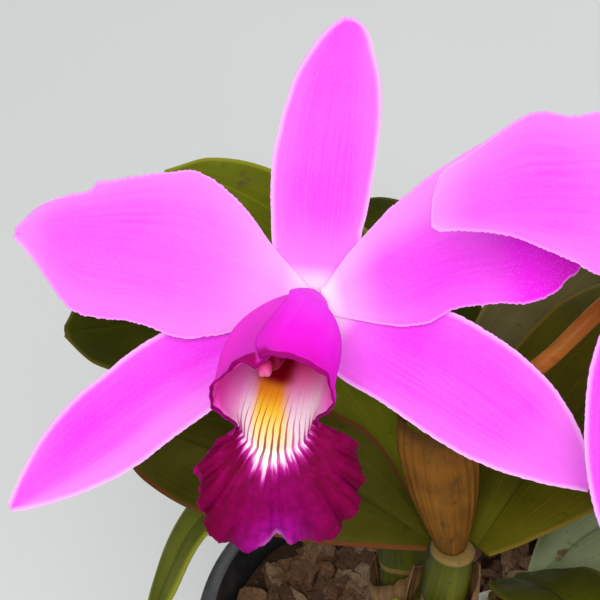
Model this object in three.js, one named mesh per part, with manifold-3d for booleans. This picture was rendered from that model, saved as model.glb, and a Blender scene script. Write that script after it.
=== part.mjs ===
// A potted bifoliate cattleya orchid with two blooms on one flowering cane.
// Millimetres, +Z up. The origin is the centre of the pot's underside, and the blooms face -Y and upwards.
import * as THREE from 'three';
import { mergeVertices } from 'three/addons/utils/BufferGeometryUtils.js';
import Module from 'manifold-3d';

const wasm = await Module();
wasm.setup();

// ---------- driving dimensions ----------
const POT_HEIGHT = 105;
const POT_RIM_RADIUS = 62;
const POT_BASE_RADIUS = 45;
const POT_WALL = 1.6;
const POT_RIM_DEPTH = 9;
const DRAIN_HOLES = 6;
const DRAIN_RADIUS = 5;
const DRAIN_CIRCLE = 33;
const PAD_RADIUS = 14; // flat pad in the middle of the underside, level with the foot ring

const SEAT_GAP = 0.35; // clearance between pieces that touch
const BARK_TOP = 95;
const BARK_RELIEF = 2.2;
const BARK_CHIPS = 26;
const CHIP_SIZE = 13;

const RHIZOME_RADIUS = 4.2;
const RHIZOME_HEIGHT = 97;
const ROOT_RADIUS = 1.7;

const LEAF_THICKNESS = 1.5;
const SHEATH_THICKNESS = 0.7;
const TEPAL_THICKNESS = 0.8;
const LIP_THICKNESS = 0.8;

const BLOOM_ELEVATION = 40; // degrees that the face of the bloom looks up
const TEPAL_LEAN = 15; // degrees that the five tepals stand steeper than that face

const degrees = Math.PI / 180;
const vector = (x, y, z) => new THREE.Vector3(x, y, z);

// ---------- colours ----------
const COLOURS = {
  pot: 0x17181a,
  bark: 0x5a3a22,
  rhizome: 0x6d5a34,
  cane: 0x66752f,
  leaf: 0x4a5a1e,
  paper: 0x9a7038,
  stem: 0x7d4a20,
  tepal: 0xf56af2,
  lip: 0xa8108a,
  column: 0xf3c6ea,
};

function material(colour, roughness) {
  return new THREE.MeshStandardMaterial({ color: colour, roughness, metalness: 0, side: THREE.FrontSide });
}

function piece(name, geometry, colour, roughness = 0.6) {
  geometry.computeVertexNormals();
  const mesh = new THREE.Mesh(geometry, material(colour, roughness));
  mesh.name = name;
  return mesh;
}

// A repeatable random number from 0 to 1.
function randomSource(seed) {
  let state = seed;
  return () => {
    state = (state * 1664525 + 1013904223) % 4294967296;
    return state / 4294967296;
  };
}

// ---------- curves ----------
// A smooth curve through [place, value] pairs, with places from 0 to 1.
function profile(pairs) {
  const slope = (i) => {
    const before = pairs[Math.max(i - 1, 0)];
    const after = pairs[Math.min(i + 1, pairs.length - 1)];
    return (after[1] - before[1]) / (after[0] - before[0]);
  };
  return (place) => {
    let i = 0;
    while (i < pairs.length - 2 && place > pairs[i + 1][0]) i += 1;
    const [x0, y0] = pairs[i];
    const [x1, y1] = pairs[i + 1];
    const span = x1 - x0;
    const f = (place - x0) / span;
    const rise = f * f * (3 - 2 * f);
    return y0 + (y1 - y0) * rise + slope(i) * span * f * (1 - f) ** 2 - slope(i + 1) * span * f * f * (1 - f);
  };
}

function path(points) {
  return new THREE.CatmullRomCurve3(points.map((p) => vector(...p)), false, 'centripetal');
}

// ---------- meshes ----------
function geometryOf(points, triangles) {
  const geometry = new THREE.BufferGeometry();
  geometry.setAttribute('position', new THREE.Float32BufferAttribute(points.flatMap((p) => p.toArray()), 3));
  geometry.setIndex(triangles.flat());
  return geometry;
}

// Gives a surface its thickness: the same triangles on both faces, and a wall along each open edge.
function thicken(points, triangles, thickness) {
  const normals = points.map(() => vector(0, 0, 0));
  const open = new Map();
  for (const [a, b, c] of triangles) {
    const normal = points[b].clone().sub(points[a]).cross(points[c].clone().sub(points[a]));
    for (const i of [a, b, c]) normals[i].add(normal);
    for (const [from, to] of [[a, b], [b, c], [c, a]]) {
      if (!open.delete(`${to} ${from}`)) open.set(`${from} ${to}`, [from, to]);
    }
  }
  const half = thickness / 2;
  const upper = points.map((p, i) => p.clone().addScaledVector(normals[i].normalize(), half));
  const lower = points.map((p, i) => p.clone().addScaledVector(normals[i], -half));
  const n = points.length;
  const faces = [...triangles, ...triangles.map(([a, b, c]) => [a + n, c + n, b + n])];
  for (const [from, to] of open.values()) {
    faces.push([to, from, from + n], [to, from + n, to + n]);
  }
  return geometryOf([...upper, ...lower], faces);
}

// A thin sheet from pointAt(s, t), with s from 0 to 1 along it and t from -1 to 1 across it.
function sheet(rows, columns, thickness, pointAt) {
  const points = [];
  const triangles = [];
  const width = columns + 1;
  for (let i = 0; i <= rows; i += 1) {
    for (let j = 0; j <= columns; j += 1) {
      points.push(pointAt(i / rows, (2 * j) / columns - 1));
      if (i < rows && j < columns) {
        const corner = i * width + j;
        triangles.push([corner, corner + 1, corner + width + 1], [corner, corner + width + 1, corner + width]);
      }
    }
  }
  return thicken(points, triangles, thickness);
}

// Level frames along a curve: the tangent, and two directions across it.
function frameAt(curve, s) {
  const tangent = curve.getTangent(s);
  const reference = Math.abs(tangent.z) > 0.9 ? vector(0, 1, 0) : vector(0, 0, 1);
  const side = tangent.clone().cross(reference).normalize();
  return { origin: curve.getPoint(s), tangent, side, up: side.clone().cross(tangent) };
}

// A closed round stem along a curve; radiusAt(s, angle) gives its outline.
function stem(curve, rows, sides, radiusAt) {
  const points = [];
  const triangles = [];
  const start = frameAt(curve, 0);
  let side = start.side;
  for (let i = 0; i <= rows; i += 1) {
    const s = i / rows;
    const tangent = curve.getTangent(s);
    side = side.clone().addScaledVector(tangent, -side.dot(tangent)).normalize();
    const up = side.clone().cross(tangent);
    const centre = curve.getPoint(s);
    for (let j = 0; j < sides; j += 1) {
      const angle = (2 * Math.PI * j) / sides;
      const radius = radiusAt(s, angle);
      const across = side.clone().multiplyScalar(radius * Math.cos(angle));
      points.push(centre.clone().add(across).addScaledVector(up, radius * Math.sin(angle)));
      if (i < rows) {
        const a = i * sides + j;
        const b = i * sides + ((j + 1) % sides);
        triangles.push([a, a + sides, b + sides], [a, b + sides, b]);
      }
    }
  }
  const first = points.push(curve.getPoint(0)) - 1;
  const last = points.push(curve.getPoint(1)) - 1;
  for (let j = 0; j < sides; j += 1) {
    const next = (j + 1) % sides;
    triangles.push([first, j, next], [last, rows * sides + next, rows * sides + j]);
  }
  return geometryOf(points, triangles);
}

function solidOf(geometry) {
  const plain = geometry.clone();
  plain.deleteAttribute('normal');
  plain.deleteAttribute('uv');
  const merged = mergeVertices(plain, 1e-4);
  return new wasm.Manifold(new wasm.Mesh({
    numProp: 3,
    vertProperties: new Float32Array(merged.attributes.position.array),
    triVerts: new Uint32Array(merged.index.array),
  }));
}

function geometryFrom(solid) {
  const mesh = solid.getMesh();
  const geometry = new THREE.BufferGeometry();
  geometry.setAttribute('position', new THREE.Float32BufferAttribute(mesh.vertProperties, 3));
  geometry.setIndex(Array.from(mesh.triVerts));
  return geometry;
}

function joined(geometries) {
  return geometries.map(solidOf).reduce((whole, next) => whole.add(next));
}

function without(solid, cutters) {
  return cutters.map(solidOf).reduce((rest, cutter) => rest.subtract(cutter), solid);
}

// Keeps the outer skin of the main body: sealed pockets are filled and loose scraps are dropped.
function mainBody(solid) {
  return solid.decompose().reduce((best, next) => (next.volume() > best.volume() ? next : best));
}

// ---------- pot and bark ----------
function potRadius(height) {
  return POT_BASE_RADIUS + ((POT_RIM_RADIUS - 3 - POT_BASE_RADIUS) * height) / POT_HEIGHT;
}

function makePot() {
  const rimBottom = POT_HEIGHT - POT_RIM_DEPTH;
  const foot = 2.5;
  const outline = [
    [0, 0], [PAD_RADIUS, 0], [PAD_RADIUS + 1, foot],
    [POT_BASE_RADIUS - 4, foot], [POT_BASE_RADIUS - 3, 0], [POT_BASE_RADIUS, 0],
    [potRadius(rimBottom), rimBottom], [POT_RIM_RADIUS - 0.6, rimBottom], [POT_RIM_RADIUS, POT_HEIGHT - 1],
    [POT_RIM_RADIUS - 1, POT_HEIGHT], [potRadius(POT_HEIGHT) - POT_WALL, POT_HEIGHT],
    [POT_BASE_RADIUS - POT_WALL, foot + POT_WALL], [0, foot + POT_WALL],
  ];
  const shell = new THREE.LatheGeometry(outline.map(([r, z]) => new THREE.Vector2(r, z)), 32);
  shell.rotateX(Math.PI / 2);
  const holes = Array.from({ length: DRAIN_HOLES }, (_, i) => {
    const angle = (2 * Math.PI * i) / DRAIN_HOLES;
    const hole = new THREE.CylinderGeometry(DRAIN_RADIUS, DRAIN_RADIUS, 12, 12);
    hole.rotateX(Math.PI / 2);
    hole.translate(DRAIN_CIRCLE * Math.cos(angle), DRAIN_CIRCLE * Math.sin(angle), foot);
    return hole;
  });
  return geometryFrom(without(solidOf(shell), holes));
}

// The bark fills the pot up to a lumpy top.
function barkHeight(x, y) {
  const lumps = Math.sin(x * 0.19 + 1) * Math.cos(y * 0.23) + 0.6 * Math.sin(x * 0.41 - y * 0.37);
  return BARK_TOP + BARK_RELIEF * (0.5 * lumps + Math.exp(-(x * x + y * y) / 900));
}

function barkBlock() {
  const bottom = 2.5 + POT_WALL + SEAT_GAP;
  const inside = (height) => potRadius(height) - POT_WALL - 2 * SEAT_GAP - 0.3;
  const outline = [[0, bottom], [inside(0) - 1, bottom], [inside(BARK_TOP), BARK_TOP]];
  for (const share of [0.8, 0.6, 0.4, 0.2, 0]) outline.push([inside(BARK_TOP) * share, BARK_TOP]);
  const block = new THREE.LatheGeometry(outline.map(([r, z]) => new THREE.Vector2(r, z)), 24);
  block.rotateX(Math.PI / 2);
  const place = block.attributes.position;
  for (let i = 0; i < place.count; i += 1) {
    if (place.getZ(i) > BARK_TOP - 1) place.setZ(i, barkHeight(place.getX(i), place.getY(i)));
  }
  return block;
}

function barkChip(random) {
  const chip = new THREE.BoxGeometry(1, 1, 1);
  const jitter = new Map();
  const place = chip.attributes.position;
  for (let i = 0; i < place.count; i += 1) {
    const key = [place.getX(i), place.getY(i), place.getZ(i)].join();
    if (!jitter.has(key)) jitter.set(key, vector(random() - 0.5, random() - 0.5, random() - 0.5));
    const shift = jitter.get(key).clone().multiplyScalar(0.5);
    place.setXYZ(i, place.getX(i) + shift.x, place.getY(i) + shift.y, place.getZ(i) + shift.z);
  }
  const length = CHIP_SIZE * (0.7 + 0.6 * random());
  chip.scale(length, length * (0.45 + 0.3 * random()), length * 0.38);
  chip.rotateX((random() - 0.5) * 0.8);
  chip.rotateY((random() - 0.5) * 0.8);
  chip.rotateZ(random() * 2 * Math.PI);
  return chip;
}

function barkChips() {
  const random = randomSource(7);
  return Array.from({ length: BARK_CHIPS }, (_, i) => {
    const radius = 45 * Math.sqrt((i + 0.5) / BARK_CHIPS);
    const angle = i * 137.5 * degrees + 0.4 * random();
    const [x, y] = [radius * Math.cos(angle), radius * Math.sin(angle)];
    const chip = barkChip(random);
    chip.translate(x, y, barkHeight(x, y) + 0.4 + random());
    return chip;
  });
}

// ---------- canes and rhizome ----------
// Each cane: where it stands on the rhizome, its top, and its thickest radius.
const CANES = {
  cane_flowering: { foot: [-5, -31, 99], top: [2.8, -26.8, 166], radius: 6.6 },
  cane_second: { foot: [-2, -13, 99], top: [-8, -6, 158], radius: 7.2 },
  cane_third: { foot: [3, 6, 99], top: [1, 13, 150], radius: 7 },
  cane_oldest: { foot: [9, 25, 99], top: [13, 30, 140], radius: 6.6 },
  cane_side: { foot: [22, -12, 99], top: [24, -9, 133], radius: 5.8 },
  cane_new: { foot: [-12, -40, 99.5], top: [-15, -43, 114], radius: 4.4 },
};
const CANE_SHAPE = profile([[0, 0.66], [0.15, 0.82], [0.5, 1], [0.8, 0.92], [1, 0.74]]);
const CANE_NODES = 4;
const SEAT_HEIGHT = 12;
const SEAT_DEPTH = 0.8;

function caneCurve({ foot, top }) {
  const middle = [0, 1, 2].map((k) => 0.5 * (foot[k] + top[k]));
  middle[1] -= 1.5;
  return path([foot, middle, top]);
}

function caneRadius(cane, s, angle, extra = 0) {
  const furrow = 1 - 0.05 * Math.cos(5 * angle) * Math.sin(Math.PI * s);
  const node = 0.5 * Math.max(0, Math.cos(2 * Math.PI * CANE_NODES * s)) ** 6;
  return cane.radius * CANE_SHAPE(s) * furrow + node + extra;
}

function makeCane(cane) {
  return stem(caneCurve(cane), 12, 10, (s, angle) => caneRadius(cane, s, angle));
}

// The seat that a cane stands in: a little wider and deeper than its foot.
function caneSeat({ foot, top, radius }) {
  const share = SEAT_HEIGHT / (top[2] - foot[2]);
  const above = [0, 1, 2].map((k) => foot[k] + share * (top[k] - foot[k]));
  return stem(path([[foot[0], foot[1], foot[2] - SEAT_DEPTH], above]), 2, 10, () => radius * 0.9 + 1.1);
}

const RHIZOME_ROUTES = [
  [[14, 40, 95], [9, 25, RHIZOME_HEIGHT], [3, 6, RHIZOME_HEIGHT], [-2, -13, RHIZOME_HEIGHT],
    [-5, -31, RHIZOME_HEIGHT], [-13, -41, 99]],
  [[3, 4, RHIZOME_HEIGHT], [14, -4, RHIZOME_HEIGHT], [22, -12, RHIZOME_HEIGHT], [28, -20, 98]],
];
const ROOT_ROUTES = [
  [[-4, -28, 97], [-18, -25, 100], [-34, -20, 99], [-46, -14, 93]],
  [[-3, -14, 97], [-20, -6, 100], [-34, 6, 99], [-44, 14, 92]],
  [[22, -12, 97], [32, -14, 100], [40, -20, 98], [44, -24, 91]],
  [[3, 6, 97], [20, 14, 100], [36, 16, 99], [46, 22, 92]],
  [[-4, -30, 97], [6, -40, 100], [16, -43, 98], [23, -44, 91]],
];

// The same route with both ends moved outwards.
function lengthened(route, extra) {
  const points = route.map((p) => vector(...p));
  const last = points.length - 1;
  const move = (end, from) => points[end].clone().sub(points[from]).setLength(extra);
  const [first, final] = [move(0, 1), move(last, last - 1)];
  points[0].add(first);
  points[last].add(final);
  return points.map((p) => p.toArray());
}

function rhizomeStems(extra) {
  const segments = RHIZOME_ROUTES.map((route) => stem(path(lengthened(route, extra)), 9, 6, (s) => {
    const ring = 0.4 * Math.max(0, Math.cos(2 * Math.PI * 9 * s)) ** 4;
    return (RHIZOME_RADIUS + ring) * (0.75 + 0.25 * Math.sin(Math.PI * s)) + extra;
  }));
  const rootRadius = () => ROOT_RADIUS + extra;
  const roots = ROOT_ROUTES.map((route) => stem(path(lengthened(route, extra)), 6, 5, rootRadius));
  return [...segments, ...roots];
}

// A dry papery sheath wrapped round part of a cane, from share `from` to share `to` of its height.
function makeCaneSheath(cane, from, to, opening) {
  const curve = caneCurve(cane);
  return sheet(4, 10, SHEATH_THICKNESS, (u, t) => {
    const torn = 0.06 * Math.sin(5 * t + 2) * u;
    const s = from + (to - from) * u + torn;
    const { origin, side, up } = frameAt(curve, s);
    const angle = opening * degrees + t * Math.PI * 0.88;
    const radius = cane.radius * CANE_SHAPE(s) * 1.05 + 1.7 + 0.9 * u * u * Math.abs(t);
    origin.addScaledVector(side, -radius * Math.cos(angle));
    return origin.addScaledVector(up, radius * Math.sin(angle));
  });
}

// ---------- leaves ----------
const LEAF_SHAPE = profile([
  [0, 0.15], [0.12, 0.44], [0.35, 0.9], [0.6, 1], [0.82, 0.84], [0.94, 0.52], [1, 0.07],
]);

// Each leaf: its cane, where its foot sits beside the cane's axis, the further points of its midrib,
// its half width, the way its upper face looks, and how much it folds and sags across.
const LEAVES = {
  leaf_flowering_left: {
    cane: 'cane_flowering', beside: [-6, 0], midrib: [[-24, -20, 180], [-50, -7, 177], [-77, 14, 170]],
    half: 17.5, face: [-0.1, -0.3, 1], fold: 0.3, sag: 0.25,
  },
  leaf_flowering_right: {
    cane: 'cane_flowering', beside: [6, 0], midrib: [[24, -15, 186], [46, 4, 199], [72, 30, 200]],
    half: 23, face: [-0.35, -0.4, 0.9], fold: 0.28, sag: 0.2,
  },
  leaf_second_up: {
    cane: 'cane_second', beside: [3.6, 1], midrib: [[-12, 10, 184], [-34, 26, 208.5], [-67, 37, 229.5]],
    half: 19, face: [0.35, -1, 0.45], fold: 0.3, sag: 0.2,
  },
  leaf_second_left: {
    cane: 'cane_second', beside: [-3.4, 0], midrib: [[-30, -9, 170], [-55, -13, 165], [-72, -22, 133]],
    half: 7, face: [-0.3, -0.1, 1], fold: 0.3, sag: 0.2,
  },
  leaf_third_left: {
    cane: 'cane_third', beside: [-4, 0], midrib: [[-30, 28, 170], [-62, 32, 188], [-92, 20, 194]],
    half: 18, face: [0.2, -0.9, 0.9], fold: 0.3, sag: 0.2,
  },
  leaf_third_right: {
    cane: 'cane_third', beside: [4, 0], midrib: [[26, 30, 174], [50, 52, 187], [74, 74, 182]],
    half: 20, face: [-0.2, -0.7, 1], fold: 0.3, sag: 0.2,
  },
  leaf_oldest_left: {
    cane: 'cane_oldest', beside: [-3.6, 0], midrib: [[2, 58, 160], [-12, 78, 172], [-28, 98, 166]],
    half: 19, face: [0, -0.6, 1], fold: 0.3, sag: 0.2,
  },
  leaf_oldest_right: {
    cane: 'cane_oldest', beside: [3, 0], midrib: [[38, 32, 156], [68, 32, 157], [96, 36, 142]],
    half: 18, face: [0.2, -0.05, 1], fold: 0.3, sag: 0.2,
  },
  leaf_side_left: {
    cane: 'cane_side', beside: [-3, -1], midrib: [[23, -24, 150], [29, -38, 159], [38, -56, 156]],
    half: 12, face: [-0.2, 0.5, 1], fold: 0.35, sag: 0.2,
  },
  leaf_side_right: {
    cane: 'cane_side', beside: [3, 0], midrib: [[42, -6, 150], [62, -4, 160], [86, -4, 158]],
    half: 16, face: [-0.3, -0.6, 1], fold: 0.3, sag: 0.2,
  },
  leaf_new_growth: {
    cane: 'cane_new', beside: [0.5, 0], midrib: [[-17, -45, 128], [-15, -41, 142], [-10, -33, 155]],
    half: 9.5, face: [0.2, -1, 0.2], fold: 0.5, sag: 0.1,
  },
};
const LEAF_LIFT = 0.55; // height of an upright leaf's foot above its cane; a leaning one is a little higher

function makeLeaf({ cane, beside, midrib, half, face, fold, sag }) {
  const axis = caneCurve(CANES[cane]).getTangent(1);
  const top = vector(...CANES[cane].top);
  const rise = vector(...midrib[0]).sub(top).normalize().dot(axis);
  const offset = vector(...beside, 0);
  const lift = LEAF_LIFT + 0.8 * LEAF_THICKNESS * Math.sqrt(1 - rise * rise);
  offset.addScaledVector(axis, lift - offset.dot(axis));
  const foot = top.add(offset);
  const curve = path([foot.toArray(), ...midrib]);
  const hint = vector(...face);
  return sheet(11, 4, LEAF_THICKNESS, (s, t) => {
    const tangent = curve.getTangent(s);
    const side = tangent.clone().cross(hint).normalize();
    const normal = side.clone().cross(tangent);
    const width = half * LEAF_SHAPE(s);
    const rise = width * (fold * Math.abs(t) - sag * t * t) + 0.8 * t * t * Math.sin(9 * s + 2 * t);
    return curve.getPoint(s).addScaledVector(side, -t * width).addScaledVector(normal, rise);
  });
}

// ---------- flower stem and spathe ----------
const BLOOMS = {
  bloom_one: { centre: [-30, -28, 243], roll: 0, yaw: 0, lateralDroop: 0 },
  bloom_two: {
    centre: [50.4, -34.2, 269.8], roll: 9, yaw: 6, lateralDroop: 38,
    petal_left: {
      angle: 171, length: 61.5, bend: -2.2,
      left: [
        [0, 2.6], [0.12, 7], [0.3, 12.4], [0.42, 12.6], [0.48, 11.2], [0.62, 7.6],
        [0.77, 4.7], [0.91, 3.5], [0.97, 3.2], [1, 1.8],
      ],
      right: [
        [0, 3.4], [0.15, 8.8], [0.28, 13.6], [0.43, 17.4], [0.55, 16.5], [0.66, 17.1],
        [0.73, 15.8], [0.83, 12.5], [0.92, 9.3], [0.97, 7.4], [1, 3],
      ],
    },
  },
};
const NECK = [-2.4, -25.4, 198]; // where the two flower stalks part
const STALK_RADIUS = 2.1;

function bloomGroup({ centre, roll, yaw }) {
  const group = new THREE.Group();
  const right = vector(1, 0, 0);
  const up = vector(0, Math.sin(BLOOM_ELEVATION * degrees), Math.cos(BLOOM_ELEVATION * degrees));
  group.quaternion.setFromRotationMatrix(new THREE.Matrix4().makeBasis(right, up, right.clone().cross(up)));
  group.rotateY(yaw * degrees);
  group.rotateZ(roll * degrees);
  group.position.set(...centre);
  group.updateMatrixWorld();
  return group;
}

// The stalk of one bloom: it leaves the neck, rises behind the bloom and widens into the ovary.
function stalkRoute(group, swing) {
  const back = (x, y, z) => group.localToWorld(vector(x, y, z)).toArray();
  const start = [NECK[0], NECK[1], NECK[2] - 6];
  return [start, NECK, ...swing, back(0, -5, -22), back(0, -1, -10), back(0, 0.3, -2.45)];
}

const STALK_SHAPE = profile([[0, 1], [0.45, 0.95], [0.62, 1.1], [0.85, 1.5], [1, 1.7]]);

function flowerStem(groups) {
  const peduncle = stem(path([[2.4, -26.8, 166.8], [-0.4, -26.2, 185], NECK]), 4, 7, () => STALK_RADIUS * 1.1);
  const swings = [
    [[-5, -20.5, 209], [-12, -13, 219]],
    [[0.2, -21.2, 208], [17.5, -20.5, 217.5], [34, -13, 231]],
  ];
  const stalks = groups.map((group, i) => stem(path(stalkRoute(group, swings[i])), 13, 7, (s, angle) => {
    const ridge = 1 + 0.06 * Math.cos(3 * angle) * Math.max(0, s - 0.5);
    return STALK_RADIUS * STALK_SHAPE(s) * ridge;
  }));
  return geometryFrom(mainBody(joined([peduncle, ...stalks])));
}

// The dry spathe: a flattened sheath round the foot of the flower stem, slit and open at the top.
const SPATHE_HEIGHT = 36;
const SPATHE_WIDTH = profile([[0, 3.1], [0.2, 5], [0.5, 7.4], [0.8, 8.4], [1, 7.4]]);
const SPATHE_DEPTH = profile([[0, 3.1], [0.3, 4.6], [0.7, 4.8], [1, 4.4]]);

function makeSpathe() {
  return sheet(7, 12, SHEATH_THICKNESS, (u, t) => {
    const angle = 270 * degrees + t * (162 - 40 * u) * degrees;
    const crown = 5 * Math.cos(angle) ** 2 * u * u;
    const height = 0.6 + u * SPATHE_HEIGHT + crown;
    const across = SPATHE_WIDTH(u) * Math.cos(angle);
    const depth = SPATHE_DEPTH(u) * Math.sin(angle);
    return vector(2.4 - 0.15 * height - across, -26.8 + 0.03 * height + depth, 167 + height);
  });
}

// ---------- tepals ----------
// Half widths are given on the two sides of the midrib; `left` is the side anticlockwise of the tip.
// A blade runs from `start` to `length` millimetres out from the bloom's middle.
const TEPALS = {
  sepal_dorsal: {
    angle: 84, start: 4, length: 57.5, bend: 1.2, depth: [-2.8, 2, 2, -3], cup: 1.2, ripple: 0.5,
    left: [
      [0, 3.6], [0.07, 8.8], [0.13, 9.9], [0.25, 10.5], [0.45, 11], [0.59, 10.2],
      [0.69, 9.4], [0.77, 8.5], [0.85, 6.8], [0.95, 3.7], [1, 0.8],
    ],
    right: [
      [0, 3.6], [0.09, 7.8], [0.22, 8.4], [0.3, 9.2], [0.5, 10], [0.61, 10],
      [0.71, 9.5], [0.8, 8.3], [0.89, 6.2], [0.97, 3.9], [1, 0.9],
    ],
  },
  petal_left: {
    angle: 166.5, start: 2.6, length: 62, bend: -2.8, depth: [-1.1, 0, 16, -6], cup: 0.8, ripple: 1.3,
    left: [
      [0, 2.6], [0.12, 7], [0.27, 13], [0.39, 15.7], [0.57, 15.1], [0.73, 15.3],
      [0.79, 13.6], [0.85, 9.8], [0.92, 5.2], [1, 0.9],
    ],
    right: [
      [0, 3.4], [0.15, 8.3], [0.25, 12.8], [0.35, 16], [0.46, 17.9], [0.55, 16.3],
      [0.64, 14.4], [0.77, 10.7], [0.84, 9.1], [0.93, 6.9], [1, 1.2],
    ],
  },
  petal_right: {
    angle: 14, start: 2.6, length: 56, bend: 5, depth: [-1.1, 0, 16, -12], cup: 0.8, ripple: 1.3,
    left: [
      [0, 3.4], [0.1, 6.6], [0.17, 8.2], [0.3, 11.2], [0.39, 12.9], [0.48, 14.9],
      [0.57, 16.8], [0.7, 19], [0.85, 16], [0.95, 8], [1, 0.9],
    ],
    right: [
      [0, 2.8], [0.11, 7.2], [0.19, 10.2], [0.26, 12.3], [0.35, 13.6], [0.48, 12.7],
      [0.6, 13.2], [0.71, 13.8], [0.78, 13.2], [0.84, 11.8], [0.9, 8.9], [0.96, 6.2],
      [1, 1.1],
    ],
  },
  sepal_lateral_left: {
    angle: 213.6, start: 4, length: 77.5, bend: -4, depth: [-2.8, 2, 6, 0], cup: 0.8, ripple: 0.6,
    left: [
      [0, 3], [0.12, 6.4], [0.36, 9.8], [0.54, 10.8], [0.62, 11], [0.69, 10.4],
      [0.75, 9.3], [0.83, 7.4], [0.95, 3.2], [1, 0.8],
    ],
    right: [
      [0, 3], [0.12, 7], [0.3, 9.2], [0.42, 9.5], [0.55, 8.8], [0.67, 8.3],
      [0.8, 6.8], [0.92, 3.8], [1, 0.9],
    ],
  },
  sepal_lateral_right: {
    angle: -34, start: 4, length: 69.5, bend: 3, depth: [-2.8, 2, 4, 0], cup: 0.8, ripple: 0.6,
    left: [
      [0, 3], [0.12, 8], [0.3, 11.9], [0.44, 12.4], [0.57, 12.3], [0.72, 11.1],
      [0.78, 9.9], [0.85, 8.1], [0.92, 5.6], [0.97, 2.9], [1, 0.7],
    ],
    right: [
      [0, 3], [0.06, 8], [0.12, 11], [0.27, 11.7], [0.46, 12.6], [0.6, 12],
      [0.66, 11.1], [0.74, 9.6], [0.82, 7.3], [0.9, 4.7], [0.95, 2.7], [1, 0.7],
    ],
  },
};
const TEPAL_ROWS = 12;

function makeTepal({ angle, start, length, bend, depth, cup, ripple, left, right }, droop) {
  const [leftHalf, rightHalf] = [profile(left), profile(right)];
  const lean = Math.tan(TEPAL_LEAN * degrees);
  return sheet(TEPAL_ROWS, 6, TEPAL_THICKNESS, (s, t) => {
    const along = start + s * (length - start);
    const heading = (angle + droop * (0.2 + 0.8 * s ** 0.7)) * degrees;
    const half = t > 0 ? leftHalf(s) : rightHalf(s);
    const across = t * half + bend * Math.sin(Math.PI * s);
    const x = along * Math.cos(heading) - across * Math.sin(heading);
    const y = along * Math.sin(heading) + across * Math.cos(heading);
    const wave = ripple * Math.abs(t) ** 3 * Math.sin(14 * s + 2 * t) * s;
    const z = depth[0] + depth[1] * s + depth[2] * s * s + depth[3] * s ** 4;
    return vector(x, y, z + cup * t * t * s + wave + lean * y);
  });
}

// ---------- lip ----------
// The lip is one blade: its side lobes roll up into a tube, the right one over the left,
// and its middle lobe spreads below the mouth as a frilled fan.
const TUBE_AXIS = path([
  [-0.6, 0.3, 2.4], [-3.6, -3.2, 6], [-6, -8.2, 13], [-7.8, -14.2, 22], [-8.7, -19.4, 30],
]);
const TUBE_RADIUS = profile([[0, 3.6], [0.12, 5.8], [0.25, 7.2], [0.5, 9.2], [0.8, 10.4], [1, 12]]);
const TUBE_FLATTEN = 0.86;
const BULGE_RIGHT = 1.3;
const BULGE_LEFT = 2.6;
// How far round each side lobe rolls, in degrees from the floor of the tube, from its foot to its mouth.
const ROLL_RIGHT = profile([
  [0, 184], [0.4, 178], [0.52, 182], [0.65, 191], [0.78, 197], [0.9, 193], [1, 188],
]);
const ROLL_LEFT = profile([[0, 188], [0.5, 188], [0.75, 184], [0.9, 178], [1, 168]]);
// How far the rim of the mouth stands out from the tube, and ahead of it, from the left lobe to the right.
const RIM_SWELL = profile([
  [-1, 0.4], [-0.93, 2.6], [-0.82, 1.6], [-0.6, 0.4], [-0.45, -2.1], [-0.3, -2.6], [-0.15, 0], [0, 0],
  [0.15, -0.4], [0.3, -2.8], [0.42, -1.6], [0.52, -0.8], [0.65, 0.8], [0.8, 1.4], [1, 0.4],
]);
const RIM_REACH = profile([
  [-1, 0.5], [-0.75, 1], [-0.58, 0.5], [-0.45, 0.2], [-0.3, -1], [-0.15, -0.6], [0, 0],
  [0.15, -0.6], [0.3, -2.4], [0.42, -1], [0.6, 0], [0.8, 0.2], [1, -0.8],
]);
const ISTHMUS = 0.3;
const ISTHMUS_COLUMNS = 10;
const LOBE_COLUMNS = 6;
const TUBE_ROWS = 7;
const FAN_HALF_WIDTH = 15.9;
const FAN_HALF_HEIGHT = 12.4;
const FAN_CENTRE = [1, -6.6];
const FAN_SWEEP_RIGHT = 152;
const FAN_SWEEP_LEFT = 140;
const FAN_SIZE = profile([
  [-1, 0.98], [-0.8, 1.05], [-0.55, 1.02], [-0.4, 1.14], [-0.2, 1.17], [0, 0.92],
  [0.2, 1.03], [0.45, 0.99], [0.65, 0.98], [0.88, 1.1], [1, 1],
]);
const FAN_WAVES = 5;
const FAN_RIPPLE = 1.7;

function tubePoint(u, v) {
  const axis = TUBE_AXIS.getTangent(u);
  const up = vector(0, 1, 0).addScaledVector(axis, -axis.y).normalize();
  const right = up.clone().cross(axis);
  const angle = (-90 + v * (v > 0 ? ROLL_RIGHT(u) : ROLL_LEFT(u))) * degrees;
  const lobe = Math.max(0, Math.abs(v) - ISTHMUS) / (1 - ISTHMUS);
  const overlap = Math.sign(v) * 0.8 * lobe;
  const bulge = (v > 0 ? BULGE_RIGHT : BULGE_LEFT) * Math.exp(-(((Math.abs(v) - 0.52) / 0.2) ** 2));
  const radius = TUBE_RADIUS(u) + overlap + bulge * Math.sin(Math.PI * u) + RIM_SWELL(v) * u ** 6;
  return TUBE_AXIS.getPoint(u)
    .addScaledVector(right, radius * Math.cos(angle))
    .addScaledVector(up, radius * Math.sin(angle) * (1 - (1 - TUBE_FLATTEN) * u))
    .addScaledVector(axis, RIM_REACH(v) * u ** 4);
}

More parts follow.
